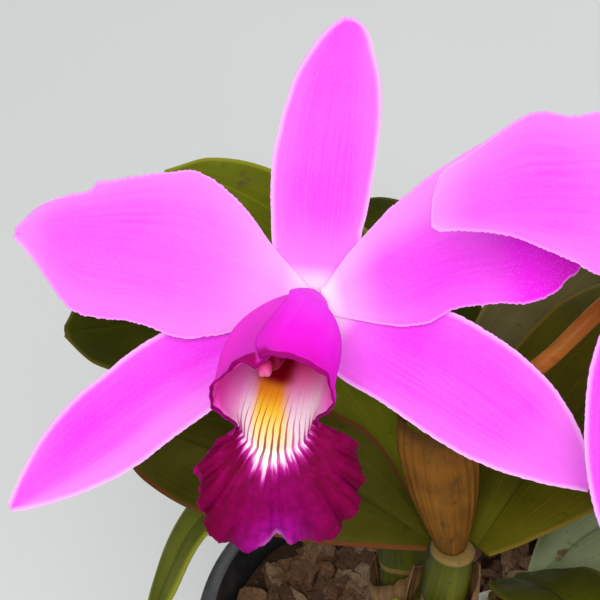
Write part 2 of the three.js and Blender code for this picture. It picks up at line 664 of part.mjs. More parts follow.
function fanPoint(reach, a) {
  const isthmus = tubePoint(1, a * ISTHMUS);
  const centre = tubePoint(1, 0);
  const angle = (-90 + a * (a > 0 ? FAN_SWEEP_RIGHT : FAN_SWEEP_LEFT)) * degrees;
  const notch = 1 - 0.08 * Math.exp(-((a / 0.06) ** 2));
  const wave = Math.sin(2 * Math.PI * FAN_WAVES * a + 0.5 * Math.sign(a));
  const size = notch * (FAN_SIZE(a) + 0.03 * wave);
  const margin = vector(
    centre.x + FAN_CENTRE[0] + FAN_HALF_WIDTH * size * Math.cos(angle),
    centre.y + FAN_CENTRE[1] + FAN_HALF_HEIGHT * size * Math.sin(angle),
    centre.z - 1.5 - 3.5 * Math.cos(a * 1.6),
  );
  const point = isthmus.lerp(margin, reach);
  point.z += 2.4 * Math.sin(Math.PI * reach) + FAN_RIPPLE * reach ** 3 * wave;
  return point;
}

function makeLip() {
  const points = [];
  const triangles = [];
  const addRow = (row) => {
    const first = points.length;
    points.push(...row);
    return row.map((_, i) => first + i);
  };
  const columns = [];
  for (let j = -LOBE_COLUMNS; j < 0; j += 1) columns.push(-ISTHMUS + ((1 - ISTHMUS) * j) / LOBE_COLUMNS);
  for (let j = 0; j <= ISTHMUS_COLUMNS; j += 1) columns.push(ISTHMUS * ((2 * j) / ISTHMUS_COLUMNS - 1));
  for (let j = 1; j <= LOBE_COLUMNS; j += 1) columns.push(ISTHMUS + ((1 - ISTHMUS) * j) / LOBE_COLUMNS);
  // Fills the strip between two rows; the second has as many spans as the first, or twice as many.
  const fill = (near, far) => {
    const times = (far.length - 1) / (near.length - 1);
    for (let j = 0; j < near.length - 1; j += 1) {
      const [a, b] = [near[j], near[j + 1]];
      const ends = far.slice(j * times, (j + 1) * times + 1);
      if (times === 1) triangles.push([a, ends[1], b], [a, ends[0], ends[1]]);
      else triangles.push([a, ends[0], ends[1]], [a, ends[1], b], [b, ends[1], ends[2]]);
    }
  };
  let row = addRow(columns.map((v) => tubePoint(0, v)));
  for (let i = 1; i <= TUBE_ROWS; i += 1) {
    const next = addRow(columns.map((v) => tubePoint(i / TUBE_ROWS, v)));
    fill(row, next);
    row = next;
  }
  let edge = row.slice(LOBE_COLUMNS, LOBE_COLUMNS + ISTHMUS_COLUMNS + 1);
  for (const [reach, spans] of [[0.22, 20], [0.44, 20], [0.64, 20], [0.83, 40], [1, 40]]) {
    const fan = Array.from({ length: spans + 1 }, (_, j) => fanPoint(reach, (2 * j) / spans - 1));
    const next = addRow(fan);
    fill(edge, next);
    edge = next;
  }
  return thicken(points, triangles, LIP_THICKNESS);
}

// The column stands inside the tube under its roof, with the anther cap at its end.
const COLUMN_ROUTE = [[0, 0.3, -0.6], [-1.3, -0.3, 4], [-5, -3.8, 12], [-9.6, -10.8, 22.4]];
const COLUMN_SHAPE = profile([[0, 2], [0.25, 1.9], [0.7, 2.5], [1, 2.4]]);

function makeColumn() {
  return stem(path(COLUMN_ROUTE), 7, 8, (s) => COLUMN_SHAPE(s));
}

function makeAntherCap() {
  const cap = new THREE.SphereGeometry(2.3, 8, 6);
  cap.scale(0.66, 0.84, 1.05);
  cap.translate(-10.3, -12, 24.6);
  return cap;
}

function makeBloom(name, bloom, group) {
  for (const [tepalName, tepal] of Object.entries(TEPALS)) {
    const side = { sepal_lateral_left: 1, sepal_lateral_right: -1 }[tepalName] ?? 0;
    const shape = { ...tepal, ...bloom[tepalName] };
    group.add(piece(`${name}_${tepalName}`, makeTepal(shape, side * bloom.lateralDroop), COLOURS.tepal));
  }
  group.add(piece(`${name}_lip`, makeLip(), COLOURS.lip));
  group.add(piece(`${name}_column`, makeColumn(), COLOURS.column));
  group.add(piece(`${name}_anther_cap`, makeAntherCap(), COLOURS.column));
  return group;
}

// ---------- assembly ----------
const orchid = new THREE.Group();
const canes = Object.values(CANES);
const rhizome = without(joined(rhizomeStems(0)), canes.map(caneSeat));
const buried = [...rhizomeStems(SEAT_GAP), ...canes.map(caneSeat)];
const bark = without(joined([barkBlock(), ...barkChips()]), buried);

orchid.add(piece('pot', makePot(), COLOURS.pot, 0.45));
orchid.add(piece('bark_medium', geometryFrom(mainBody(bark)), COLOURS.bark, 0.95));
orchid.add(piece('rhizome', geometryFrom(mainBody(rhizome)), COLOURS.rhizome, 0.8));
for (const [name, cane] of Object.entries(CANES)) orchid.add(piece(name, makeCane(cane), COLOURS.cane));
for (const [name, leaf] of Object.entries(LEAVES)) orchid.add(piece(name, makeLeaf(leaf), COLOURS.leaf, 0.4));
orchid.add(piece('sheath_flowering', makeCaneSheath(CANES.cane_flowering, 0.4, 0.86, 20), COLOURS.paper, 0.8));
orchid.add(piece('sheath_second', makeCaneSheath(CANES.cane_second, 0.3, 0.7, -60), COLOURS.paper, 0.8));
orchid.add(piece('sheath_third', makeCaneSheath(CANES.cane_third, 0.3, 0.66, 100), COLOURS.paper, 0.8));
orchid.add(piece('sheath_side', makeCaneSheath(CANES.cane_side, 0.35, 0.8, 10), COLOURS.paper, 0.8));
orchid.add(piece('spathe', makeSpathe(), COLOURS.paper, 0.7));

const groups = Object.values(BLOOMS).map(bloomGroup);
orchid.add(piece('flower_stem', flowerStem(groups), COLOURS.stem, 0.5));
Object.entries(BLOOMS).forEach(([name, bloom], i) => orchid.add(makeBloom(name, bloom, groups[i])));

export default orchid;
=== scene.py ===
"""Looks of a potted cattleya orchid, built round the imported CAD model. Lengths are millimetres until placed."""

import bpy
import numpy as np
from mathutils import Matrix
from numpy import cos, pi, radians, sin


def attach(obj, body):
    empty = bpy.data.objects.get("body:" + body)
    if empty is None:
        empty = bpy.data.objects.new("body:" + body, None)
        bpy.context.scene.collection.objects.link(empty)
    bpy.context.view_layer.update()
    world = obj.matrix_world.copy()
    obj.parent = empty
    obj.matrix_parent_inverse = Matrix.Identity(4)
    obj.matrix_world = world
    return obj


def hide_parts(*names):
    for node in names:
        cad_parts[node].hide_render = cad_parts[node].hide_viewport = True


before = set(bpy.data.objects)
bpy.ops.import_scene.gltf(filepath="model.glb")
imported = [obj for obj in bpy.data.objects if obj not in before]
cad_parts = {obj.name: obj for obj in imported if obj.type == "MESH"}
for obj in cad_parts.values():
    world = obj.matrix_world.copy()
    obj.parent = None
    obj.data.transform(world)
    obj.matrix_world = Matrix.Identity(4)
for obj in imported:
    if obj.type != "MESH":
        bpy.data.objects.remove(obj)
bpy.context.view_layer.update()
MM = 0.001


def stand(name, data, place, axes):
    """Places a camera or light, turned so that its right, up and back directions are the three axes."""
    obj = bpy.data.objects.new(name, data)
    turn = Matrix(np.stack(axes, axis=1).tolist())
    obj.matrix_world = Matrix.Translation((place * MM).tolist()) @ turn.to_4x4()
    bpy.context.collection.objects.link(obj)
    return obj


# ---------- camera ----------
FACE_ELEVATION = radians(40)
RIGHT = np.array([1.0, 0.0, 0.0])
UP = np.array([0.0, sin(FACE_ELEVATION), cos(FACE_ELEVATION)])
OUT = np.array([0.0, -cos(FACE_ELEVATION), sin(FACE_ELEVATION)])
BLOOM_ONE = np.array([-30.0, -28.0, 243.0])
# where the photograph was taken from, worked out from the near bloom
CAMERA_PLACE = BLOOM_ONE - 3.52 * RIGHT + 1.035 * UP + 340.0 * OUT
CAMERA_LENS = 98.55


def make_camera():
    data = bpy.data.cameras.new("camera")
    data.sensor_width, data.lens = 36, CAMERA_LENS
    data.clip_start, data.clip_end = 0.01, 20
    bpy.context.scene.camera = stand("camera", data, CAMERA_PLACE, (RIGHT, UP, OUT))


make_camera()


# ---------- curves ----------
def profile(pairs):
    """A smooth curve through (place, value) pairs, with places from 0 to 1."""
    xs, ys = np.array(pairs, float).T
    last = len(xs) - 1
    before = np.maximum(np.arange(last + 1) - 1, 0)
    after = np.minimum(np.arange(last + 1) + 1, last)
    slopes = (ys[after] - ys[before]) / (xs[after] - xs[before])

    def value(place):
        place = np.asarray(place, float)
        i = np.clip(np.searchsorted(xs, place, side="left") - 1, 0, last - 1)
        span = xs[i + 1] - xs[i]
        f = (place - xs[i]) / span
        rise = ys[i] + (ys[i + 1] - ys[i]) * f * f * (3 - 2 * f)
        return rise + slopes[i] * span * f * (1 - f) ** 2 - slopes[i + 1] * span * f * f * (1 - f)

    return value


def unit(v):
    return v / np.maximum(np.linalg.norm(v, axis=-1, keepdims=True), 1e-12)


class Path:
    """A centripetal Catmull-Rom curve through points, for shares of its length from 0 to 1."""

    def __init__(self, points):
        self.points = np.array(points, float)

    def at(self, t):
        p = self.points
        last = len(p) - 1
        t = np.asarray(t, float)
        i = np.clip(np.floor(t * last).astype(int), 0, last - 1)
        f = (t * last - i)[..., None]
        whole = np.vstack([2 * p[0] - p[1], p, 2 * p[-1] - p[-2]])
        a, b, c, d = (whole[i + k] for k in range(4))
        d0, d1, d2 = (np.sqrt(np.linalg.norm(r - q, axis=-1))[..., None] for q, r in ((a, b), (b, c), (c, d)))
        t1 = ((b - a) / d0 - (c - a) / (d0 + d1) + (c - b) / d1) * d1
        t2 = ((c - b) / d1 - (d - b) / (d1 + d2) + (d - c) / d2) * d1
        return b + t1 * f + (3 * (c - b) - 2 * t1 - t2) * f**2 + (2 * (b - c) + t1 + t2) * f**3

    def tangent(self, t):
        t = np.asarray(t, float)
        return unit(self.at(np.clip(t + 1e-4, 0, 1)) - self.at(np.clip(t - 1e-4, 0, 1)))

    def frame(self, t, facing):
        """Points, and the directions to the side and upward of a blade that runs along the curve."""
        tangent = self.tangent(t)
        side = unit(np.cross(tangent, np.array(facing, float)))
        return self.at(t), side, np.cross(side, tangent)


def smooth(value, low, high):
    f = np.clip((value - low) / (high - low), 0, 1)
    return f * f * (3 - 2 * f)


def bell(value, width):
    return np.exp(-((value / width) ** 2))


def wobble(seed, count, size, rough=0.5):
    """Smooth repeatable noise along a row of `count` places, about -1 to 1."""
    rng = np.random.default_rng(seed)
    total = np.zeros(count)
    weight, knots = 1.0, size
    places = np.linspace(0, 1, count)
    for _ in range(3):
        heights = rng.uniform(-1, 1, knots + 2)
        total += weight * np.interp(places * knots, np.arange(knots + 2), heights)
        weight *= rough
        knots *= 2
    return total / (1 + rough + rough**2)


def margins(t, seed, count, size):
    """Noise along the two margins of a blade, a different row where t is above zero."""
    upper, lower = (wobble(seed + k, count, size)[:, None] for k in (0, 1))
    return np.where(t > 0, upper, lower)


# ---------- meshes ----------
def grid(down, along):
    return np.meshgrid(down, along, indexing="ij")


def steps(count, start=0, end=1):
    return np.linspace(start, end, count + 1)


def turns(sides):
    """Angles once round."""
    return np.arange(sides) * 2 * pi / sides


def crowded(columns):
    """Places from -1 to 1 that lie closer together towards both margins."""
    return sin(steps(columns, -1) * pi / 2)


def add_layers(mesh, attributes):
    for key, values in attributes.items():
        layer = mesh.attributes.new(name=key, type="FLOAT", domain="POINT")
        layer.data.foreach_set("value", np.asarray(values, np.float32).ravel())


def soften(mesh, crease=None):
    """Smooth shading, but for edges that turn by more than `crease` degrees."""
    mesh.polygons.foreach_set("use_smooth", np.ones(len(mesh.polygons), bool))
    if crease:
        mesh.set_sharp_from_angle(angle=radians(crease))


def add_object(name, points, faces, material=None, **attributes):
    mesh = bpy.data.meshes.new(name)
    mesh.from_pydata((np.asarray(points) * MM).tolist(), [], [list(f) for f in faces])
    add_layers(mesh, attributes)
    soften(mesh)
    if material:
        mesh.materials.append(MATERIALS[material])
    mesh.validate()
    obj = bpy.data.objects.new(name, mesh)
    bpy.context.collection.objects.link(obj)
    return obj


def settle(obj, node):
    """The piece rides on the body and stands for the named CAD node."""
    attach(obj, "root")
    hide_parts(node)


def add_piece(node, slot, points, faces, material, **attributes):
    obj = add_object(f"{node}_fine", points, faces, material, **attributes)
    settle(obj, node)
    return obj


def baked(obj):
    """Replaces the object's mesh by what its modifiers make of it."""
    graph = bpy.context.evaluated_depsgraph_get()
    mesh = bpy.data.meshes.new_from_object(obj.evaluated_get(graph))
    obj.modifiers.clear()
    obj.data = mesh


def grid_faces(rows, columns, wrap=False):
    """Quads of a grid of points with rows+1 by columns+1 of them (columns when it wraps round)."""
    width = columns if wrap else columns + 1
    i, j = grid(np.arange(rows), np.arange(columns))
    k = (j + 1) % width
    quads = np.stack([i * width + j, (i + 1) * width + j, (i + 1) * width + k, i * width + k], -1)
    return quads.reshape(-1, 4)


def band(low, high):
    """Quads between two rings of point numbers."""
    return np.stack([low, np.roll(low, -1), np.roll(high, -1), high], -1)


def add_blade(node, slot, points, quads, thickness, material, **attributes):
    """A piece with both faces of a blade and the wall round its open edge. `side` is 1 on the upper face."""
    points = points.reshape(-1, 3)
    count = len(points)
    corners = [points[quads[:, k]] for k in range(4)]
    face = np.cross(corners[2] - corners[0], corners[3] - corners[1])
    normals = np.zeros_like(points)
    for k in range(4):
        np.add.at(normals, quads[:, k], face)
    half = unit(normals) * (np.asarray(thickness) * np.ones(count))[:, None] / 2
    a = quads.ravel()
    b = np.roll(quads, -1, axis=1).ravel()
    open_edge = ~np.isin(a * count + b, b * count + a)
    a, b = a[open_edge], b[open_edge]
    wall = np.stack([b, a, a + count, b + count], -1)
    doubled = {key: np.tile(np.ravel(values), 2) for key, values in attributes.items()}
    return add_piece(node, slot, np.vstack([points + half, points - half]),
                     np.vstack([quads, quads[:, ::-1] + count, wall]), material,
                     **doubled, side=np.repeat([1.0, 0.0], count))


def stem_mesh(curve, rows, sides, radius_at, cap=2):
    """A closed round stem with ends domed by `cap` rings. Returns points, faces and each point's s and angle."""
    places = steps(rows)
    tangents = curve.tangent(places)
    reference = np.array([0.0, 1, 0]) if abs(tangents[0][2]) > 0.9 else np.array([0.0, 0, 1])
    side = unit(np.cross(tangents[0], reference))
    angle = turns(sides)
    rings = []
    for s, centre, tangent in zip(places, curve.at(places), tangents):
        side = unit(side - tangent * side.dot(tangent))
        up = np.cross(side, tangent)
        radius = np.asarray(radius_at(s, angle)) * np.ones(sides)
        rings.append(centre + side * (radius * cos(angle))[:, None] + up * (radius * sin(angle))[:, None])
    faces = grid_faces(rows, sides, wrap=True).tolist()
    for end, out in ((0, -1), (1, 1)):
        centre, tangent = curve.at(end), curve.tangent(end) * out
        last = rings[end * rows]
        radius = np.linalg.norm(last - centre, axis=1).mean()
        rim = end * rows * sides + np.arange(sides)
        for step in range(1, cap + 1):
            lean = step / (cap + 1) * pi / 2
            rings.append(centre + (last - centre) * cos(lean) + tangent * 0.18 * radius * sin(lean))
            new = (len(rings) - 1) * sides + np.arange(sides)
            faces.extend(band(rim, new)[:, ::-out].tolist())
            rim = new
        faces.append(rim[::-out].tolist())
    s = np.repeat([*places, *[0.0] * cap, *[1.0] * cap], sides)
    return np.concatenate(rings), faces, s, np.tile(angle, len(rings))


# ---------- materials ----------
def scaled(colour, factor, extra=0):
    return tuple(min(1, factor * c + extra) for c in colour)


MATERIALS = {}


class Paint:
    """Builds one procedural material, kept in MATERIALS under the name it was asked for."""

    def __init__(self, name, specular):
        MATERIALS[name] = material = bpy.data.materials.new(name)
        material.use_nodes = True
        self.tree = material.node_tree
        self.tree.nodes.clear()
        self.output = self.tree.nodes.new("ShaderNodeOutputMaterial")
        self.shader = self.tree.nodes.new("ShaderNodeBsdfPrincipled")
        self.tree.links.new(self.shader.outputs[0], self.output.inputs[0])
        self.set("Specular IOR Level", specular)

    def fill(self, socket, value):
        if isinstance(value, bpy.types.NodeSocket):
            self.tree.links.new(value, socket)
        elif isinstance(value, tuple) and socket.type == "RGBA":
            socket.default_value = (*value, 1)
        else:
            socket.default_value = value

    def set(self, socket, value):
        self.fill(self.shader.inputs[socket], value)

    def node(self, kind, inputs=(), output=0, **props):
        made = self.tree.nodes.new("ShaderNode" + kind)
        for key, value in props.items():
            setattr(made, key, value)
        for key, value in dict(inputs).items():
            self.fill(made.inputs[key], value)
        return made.outputs[output]

    def attributes(self, *names):
        return [self.node("Attribute", output="Fac", attribute_name=name) for name in names]

    def math(self, operation, a, b=0, third=0):
        return self.node("Math", {0: a, 1: b, 2: third}, operation=operation)

    def times(self, a, b):
        return self.math("MULTIPLY", a, b)

    def plus(self, a, b):
        return self.math("ADD", a, b)

    def minus(self, a, b):
        return self.math("SUBTRACT", a, b)

    def absolute(self, a):
        return self.math("ABSOLUTE", a)

    def noise(self, scale, detail=2, vector=None, rough=0.5):
        inputs = {"Scale": scale, "Detail": detail, "Roughness": rough}
        inputs["Vector"] = vector or self.node("TexCoord", output="Object")
        return self.node("TexNoise", inputs, "Fac")

    def stretched(self, a, a_scale, b, b_scale, detail=3, rough=0.5):
        """Noise over two measures of a surface, each with its own scale."""
        vector = self.node("CombineXYZ", {0: self.times(a, a_scale), 1: self.times(b, b_scale)})
        return self.noise(1, detail, vector, rough)

    def range(self, value, low, high, start=0, end=1, kind="SMOOTHSTEP"):
        return self.node("MapRange", {0: value, 1: low, 2: high, 3: start, 4: end}, interpolation_type=kind)

    def mix(self, factor, a, b):
        return self.node("Mix", {0: factor, 6: a, 7: b}, 2, data_type="RGBA")

    def layers(self, colour, *layers):
        """Lays colours over the first one. A layer is (factor, colour), or (value, off, full, share, colour)
        for none of it where the value is `off` and that share of it where the value is `full`."""
        for *factor, over in layers:
            if len(factor) > 1:
                value, off, full, share = factor
                factor = [self.range(value, off, full, 0, share)]
            colour = self.mix(factor[0], colour, over)
        return colour

    def ramp(self, factor, *stops):
        """Colours along a factor, each stop being its place, red, green and blue."""
        made = self.node("ValToRGB", {0: factor})
        elements = made.node.color_ramp.elements
        while len(elements) < len(stops):
            elements.new(0.5)
        for element, (place, *colour) in zip(elements, stops):
            element.position = place
            element.color = (*colour, 1)
        return made

    def finish(self, colour, roughness, *bumps, glow=None):
        """Roughness is (noise, least, most), a bump (height, distance, strength), the lowest bump first, and
        glow the share and the colour of the light that a thin blade lets through."""
        noise, least, most = roughness
        under = {}
        for height, distance, strength in bumps:
            under["Normal"] = self.node("Bump", {
                "Height": height, "Distance": distance * MM, "Strength": strength, **under})
        self.set("Base Color", colour)
        self.set("Roughness", self.range(noise, 0.3, 0.7, least, most))
        self.set("Normal", under["Normal"])
        if glow:
            thin = self.node("BsdfTranslucent", {"Color": glow[1]})
            both = self.node("MixShader", {0: glow[0], 1: self.shader.outputs[0], 2: thin})
            self.tree.links.new(both, self.output.inputs[0])


def tepal_material(name, green, middle, pale, glow, white, rim, rim_colour):
    p = Paint(name, 0.08)
    s, t, edge, side, tone, base = p.attributes("along", "across", "edge", "side", "tone", "base")
    spread = p.absolute(t)
    body = p.range(s, 0.97, 0.72)
    streaks, fine = (
        p.math("MULTIPLY_ADD", p.minus(p.stretched(s, a, t, b, detail), 0.5), body, 0.5)
        for a, b, detail in ((2.4, 17, 3), (5, 60, 2)))
    cell_grain_and_glints = p.noise(2600, 2)
    colour = p.layers(
        (0.9, green, 0.89),
        (streaks, 0.3, 0.7, 1, (0.91, green + 0.045, 0.9)),
        (p.noise(55, 2), 0.35, 0.7, 0.5, (0.92, green + 0.09, 0.91)),
        (fine, 0.56, 0.74, 0.25, (0.87, 0.06, 0.85)),
        (spread, 0.5, 0, middle, (0.9, 0.068, 0.88)),
        (spread, 0.4, 1, pale, (0.94, 0.27, 0.93)),
        # painted light and shade, partly the blade's own colour: deeper magenta where the blade lies in shadow or
        # curls away, darkest past one, paler on the lit side
        (tone, 0, -1, 1, (0.94, 0.4, 0.93)),
        (tone, 0, 1, 1, (0.88, 0.016, 0.84)),
        (tone, 1, 2, 1, (0.7, 0.008, 0.6)),
        (base, glow[0], 0, glow[1], (0.97, 0.55, 0.96)),
        (base, white, 0, 0.85, (1, 0.86, 0.98)),
        (edge, rim[0], 0.1, rim[1], rim_colour),
        # fine lighter speckle of the cells, partly painted glint of their glistening
        (cell_grain_and_glints, 0.5, 0.72, 0.12, (0.97, 0.42, 0.96)),
        (p.times(p.minus(1, side), 0.45), (0.92, 0.3, 0.88)))
    veins = p.plus(p.times(fine, 0.6), streaks)
    p.finish(colour, (cell_grain_and_glints, 0.45, 0.62), (veins, 0.22, 0.5), (cell_grain_and_glints, 0.06, 0.6), glow=(0.22, colour))


VEIN_SPACING = 0.038


def lip_material():
    p = Paint("lip_velvet", 0.04)
    flow, v, edge, side, reach, turn = p.attributes("flow", "spread", "edge", "side", "reach", "turn")
    # the markings lie a little to the left of the middle, and lean over to it on the way out
    inward = p.math("MAXIMUM", p.minus(1, flow), 0)
    away = p.absolute(p.plus(p.plus(v, 0.03), p.times(inward, 0.2)))
    wing = p.absolute(v)
    waver = p.minus(p.stretched(flow, 5, v, 14, 2), 0.5)
    strands = p.minus(p.stretched(flow, 3, v, 85), 0.5)
    # ground of the throat: deep red shadow, orange, yellow, cream, white
    depth = p.range(flow, 0.4, 1.2, kind="LINEAR")
    centre = p.ramp(
        depth, (0.1, 0.6, 0.05, 0.04), (0.17, 0.88, 0.28, 0.025), (0.28, 1, 0.44, 0.02), (0.42, 1, 0.76, 0.05),
        (0.54, 1, 0.93, 0.22), (0.67, 1, 0.97, 0.46), (0.8, 1, 0.97, 0.86))
    flank = p.ramp(
        depth, (0, 0.9, 0.08, 0.32), (0.14, 1, 0.24, 0.6), (0.26, 1, 0.48, 0.8), (0.38, 1, 0.78, 0.93),
        (0.5, 1, 0.93, 0.98))
    lobe = p.ramp(
        p.range(p.minus(wing, p.times(flow, 0.25)), -0.02, 0.35, kind="LINEAR"), (0, 1, 0.93, 0.98),
        (0.18, 1, 0.68, 0.92), (0.4, 1, 0.36, 0.82), (0.7, 0.98, 0.11, 0.68), (1, 0.86, 0.03, 0.5))
    # painted shadow: a dark red patch on the throat's floor, under the anther and column
    anther_shadow = p.times(p.range(flow, 0.58, 0.5), p.range(p.absolute(p.plus(v, 0.13)), 0.2, 0.04))
    # fine veins run down the throat and darken towards its mouth
    shifted = p.plus(v, p.times(waver, 0.018))
    ridge = p.math("MULTIPLY_ADD", p.math("SINE", p.times(shifted, 2 * pi / VEIN_SPACING)), 0.5, 0.5)
    vein = p.layers((0.62, 0.17, 0.012), (flow, 0.8, 1.02, 1, (0.3, 0.008, 0.035)),
                    (away, 0.08, 0.15, 1, (0.66, 0.1, 0.4)))
    width = p.plus(p.range(flow, 0.68, 1.1, 0.95, 0.66), p.range(away, 0.08, 0.2, 0, 0.05))
    width = p.plus(width, p.times(strands, 0.35))
    line = p.range(p.minus(ridge, width), -0.05, 0.09)
    for share in p.range(wing, 0.32, 0.25), p.range(flow, 0.52, 0.66, 0, 0.92), p.range(away, 0.14, 0.26, 1, 0.6):
        line = p.times(line, share)
    throat = p.layers(centre, (p.plus(away, p.times(waver, 0.06)), 0.065, 0.145, 1, flank),
                      (wing, 0.22, 0.32, 1, lobe), (anther_shadow, (0.24, 0, 0.01)), (line, vein))
    # the middle lobe
    fold_relief_and_shading = p.stretched(reach, 1.6, turn, 11)
    low = p.times(p.range(p.absolute(p.plus(turn, 0.03)), 0.24, 0.02), p.range(reach, 0.55, 0.95))
    notch = p.times(p.range(p.absolute(p.plus(turn, 0.035)), 0.1, 0), p.range(reach, 0.9, 1))
    pile = p.noise(520, 3, rough=0.6)
    velvet = p.layers(
        (0.15, 0, 0.028),
        # painted light and shade on the folds: lighter on the ridges that the fold noise raises, darker between
        # them
        (fold_relief_and_shading, 0.3, 0.7, 1, (0.235, 0, 0.068)),
        (p.absolute(turn), 0.42, 0, 0.85, (0.26, 0, 0.115)),
        (reach, 0.7, 1, 0.45, (0.15, 0, 0.03)),
        (low, (0.42, 0.004, 0.32)),
        (notch, (0.62, 0.18, 0.58)),
        (pile, 0.4, 0.7, 0.4, (0.11, 0, 0.022)),
        (pile, 0.45, 0.25, 0.3, (0.36, 0, 0.15)))
    # where the pale ground gives way, feathered strand by strand
    reached = p.absolute(p.plus(v, 0.035))
    limit = p.plus(p.range(reached, 0, 0.11, 1.25, 1.13), p.range(reached, 0.1, 0.27, 0, -0.11))
    limit = p.plus(limit, p.times(p.range(wing, 0.29, 0.32), p.range(flow, 1.02, 1)))
    feather = p.plus(p.times(strands, 0.3), p.times(ridge, -0.09))
    front = p.minus(p.minus(flow, feather), limit)
    # dark rims on the side lobes, and a turned-over corner
    lift = p.times(p.absolute(p.plus(v, 0.93)), 1.4)
    fold = p.range(p.minus(flow, lift), 0.885, 0.915)
    rim = p.times(p.times(p.range(edge, 0.95, 0.5), p.range(flow, 1.12, 1.04)), p.range(wing, 0.23, 0.27))
    inner = p.layers(
        throat,
        (front, -0.13, -0.02, 0.75, (0.84, 0.22, 0.64)),
        (front, -0.07, 0.03, 1, (0.45, 0.01, 0.26)),
        (front, -0.01, 0.14, 1, velvet),
        (fold, (0.31, 0, 0.11)),
        (rim, (0.22, 0, 0.12)))
    # outside of the tube and underside of the middle lobe
    cloudy = p.plus(flow, p.times(p.minus(p.stretched(flow, 2, v, 12), 0.5), 0.35))
    # painted shade along the overlap of the tube's two rolled flaps, on both sides of the seam
    seam_shadow = p.math("MAXIMUM", p.range(v, -0.64, -0.82, 0, 0.6), p.range(v, 0.86, 0.98, 0, 0.4))
    band = p.range(p.minus(edge, p.range(v, 0.6, 0.8)), 0.75, 0.35, 0, 0.9)
    outside = p.layers(
        p.ramp(cloudy, (0, 0.96, 0.13, 0.95), (0.34, 0.95, 0.06, 0.94), (0.66, 0.91, 0.012, 0.78),
               (1, 0.85, 0.007, 0.6)),
        (v, -0.3, -0.6, 0.5, (0.92, 0.07, 0.62)),
        (p.times(seam_shadow, p.range(flow, 0.35, 0.7)), (0.6, 0.035, 0.48)),
        (p.times(band, p.range(flow, 0.84, 0.96)), (0.33, 0, 0.13)),
        (fold, (0.31, 0, 0.11)),
        (flow, 0.98, 1.03, 1, (0.27, 0.004, 0.13)))
    colour = p.mix(side, outside, inner)
    grain = p.noise(2200, 2)
    height = p.plus(p.times(line, 0.4), p.times(fold_relief_and_shading, 0.5))
    p.finish(colour, (grain, 0.5, 0.75), (height, 0.4, 0.6), (grain, 0.07, 0.6), glow=(0.12, colour))


def leaf_material(name, dark, light, rim, red=0, gloss=0.42):
    p = Paint(name, 0.04)
    s, t, edge, side = p.attributes("along", "across", "edge", "side")
    lines = p.stretched(s, 1.6, t, 26)
    blotch, speckle = p.noise(42, 4), p.noise(520, 3)
    stain = [(p.times(p.range(edge, 1.6, 0.4, 0, red), p.range(blotch, 0.25, 0.5)), (0.13, 0.035, 0.01))]
    scar = p.times(p.range(p.noise(95, 2), 0.7, 0.76), p.range(speckle, 0.4, 0.6))
    colour = p.layers(
        dark,
        (blotch, 0.3, 0.7, 1, light),
        (lines, 0.5, 0.75, 0.35, scaled(light, 1.5)),
        (speckle, 0.64, 0.74, 0.4, scaled(dark, 0.45)),
        (p.absolute(t), 0.06, 0, 0.55, scaled(dark, 0.6)),
        (edge, 1.5, 0.3, 0.75, rim),
        *(stain if red else []),
        (scar, (0.09, 0.06, 0.02)),
        (p.times(p.minus(1, side), 0.6), scaled(light, 1.7, 0.003)))
    p.finish(colour, (p.noise(130, 4), gloss, gloss + 0.22), (lines, 0.35, 0.5),
             (p.noise(800, 2), 0.06, 0.5), glow=(0.05, (0.2, 0.28, 0.01)))


def cane_material():
    p = Paint("cane_skin", 0.12)
    s, around, ring = p.attributes("along", "around", "ring")
    lines = p.stretched(s, 3, around, 5)
    blotch = p.noise(70, 4)
    colour = p.layers(
        (0.03, 0.036, 0.002),
        (blotch, 0.3, 0.7, 1, (0.062, 0.066, 0.005)),
        (lines, 0.45, 0.75, 0.5, (0.1, 0.1, 0.008)),
        (s, 0.35, 0, 0.7, (0.1, 0.062, 0.014)),
        (ring, 0.35, 0.9, 1, (0.17, 0.11, 0.03)),
        (p.noise(420, 2), 0.66, 0.74, 0.7, (0.05, 0.03, 0.01)))
    p.finish(colour, (blotch, 0.35, 0.55), (lines, 0.5, 0.6), (p.noise(900, 2), 0.06, 0.5))


def paper_material(name, pale, dark, strands=0.7):
    p = Paint(name, 0.15)
    s, t = p.attributes("along", "across")
    fibres = p.stretched(s, 1.2, t, 34, 4)
    coarse = p.stretched(s, 1, t, 9, 2)
    colour = p.layers(
        dark,
        (p.noise(120, 5, rough=0.65), 0.32, 0.68, 1, pale),
        (fibres, 0.5, 0.7, strands, scaled(dark, 0.35)),
        (coarse, 0.55, 0.75, 0.5, scaled(pale, 1.5)),
        (s, 0.88, 1, 0.6, scaled(dark, 0.3)),
        (p.noise(330, 3), 0.62, 0.7, 0.7, (0.05, 0.022, 0.008)))
    p.finish(colour, (fibres, 0.5, 0.75), (p.plus(fibres, p.times(coarse, 1.2)), 0.5, 0.8),
             (p.noise(1500, 3), 0.06, 0.5), glow=(0.15, (0.55, 0.26, 0.06)))


def stalk_material():
    p = Paint("stalk_skin", 0.08)
    s, = p.attributes("along")
    mottle = p.noise(260, 4)
    colour = p.layers(
        p.ramp(s, (0, 0.13, 0.14, 0.02), (0.3, 0.2, 0.11, 0.016), (0.55, 0.3, 0.1, 0.012),
               (0.75, 0.22, 0.06, 0.008), (0.93, 0.14, 0.02, 0.012)),
        (mottle, 0.5, 0.72, 0.45, (0.11, 0.02, 0.01)),
        (p.noise(90, 2), 0.5, 0.7, 0.5, (0.2, 0.12, 0.015)),
        (s, 0.975, 0.992, 1, (0.95, 0.7, 0.9)))
    p.finish(colour, (mottle, 0.32, 0.5), (p.noise(1300, 2), 0.06, 0.6))


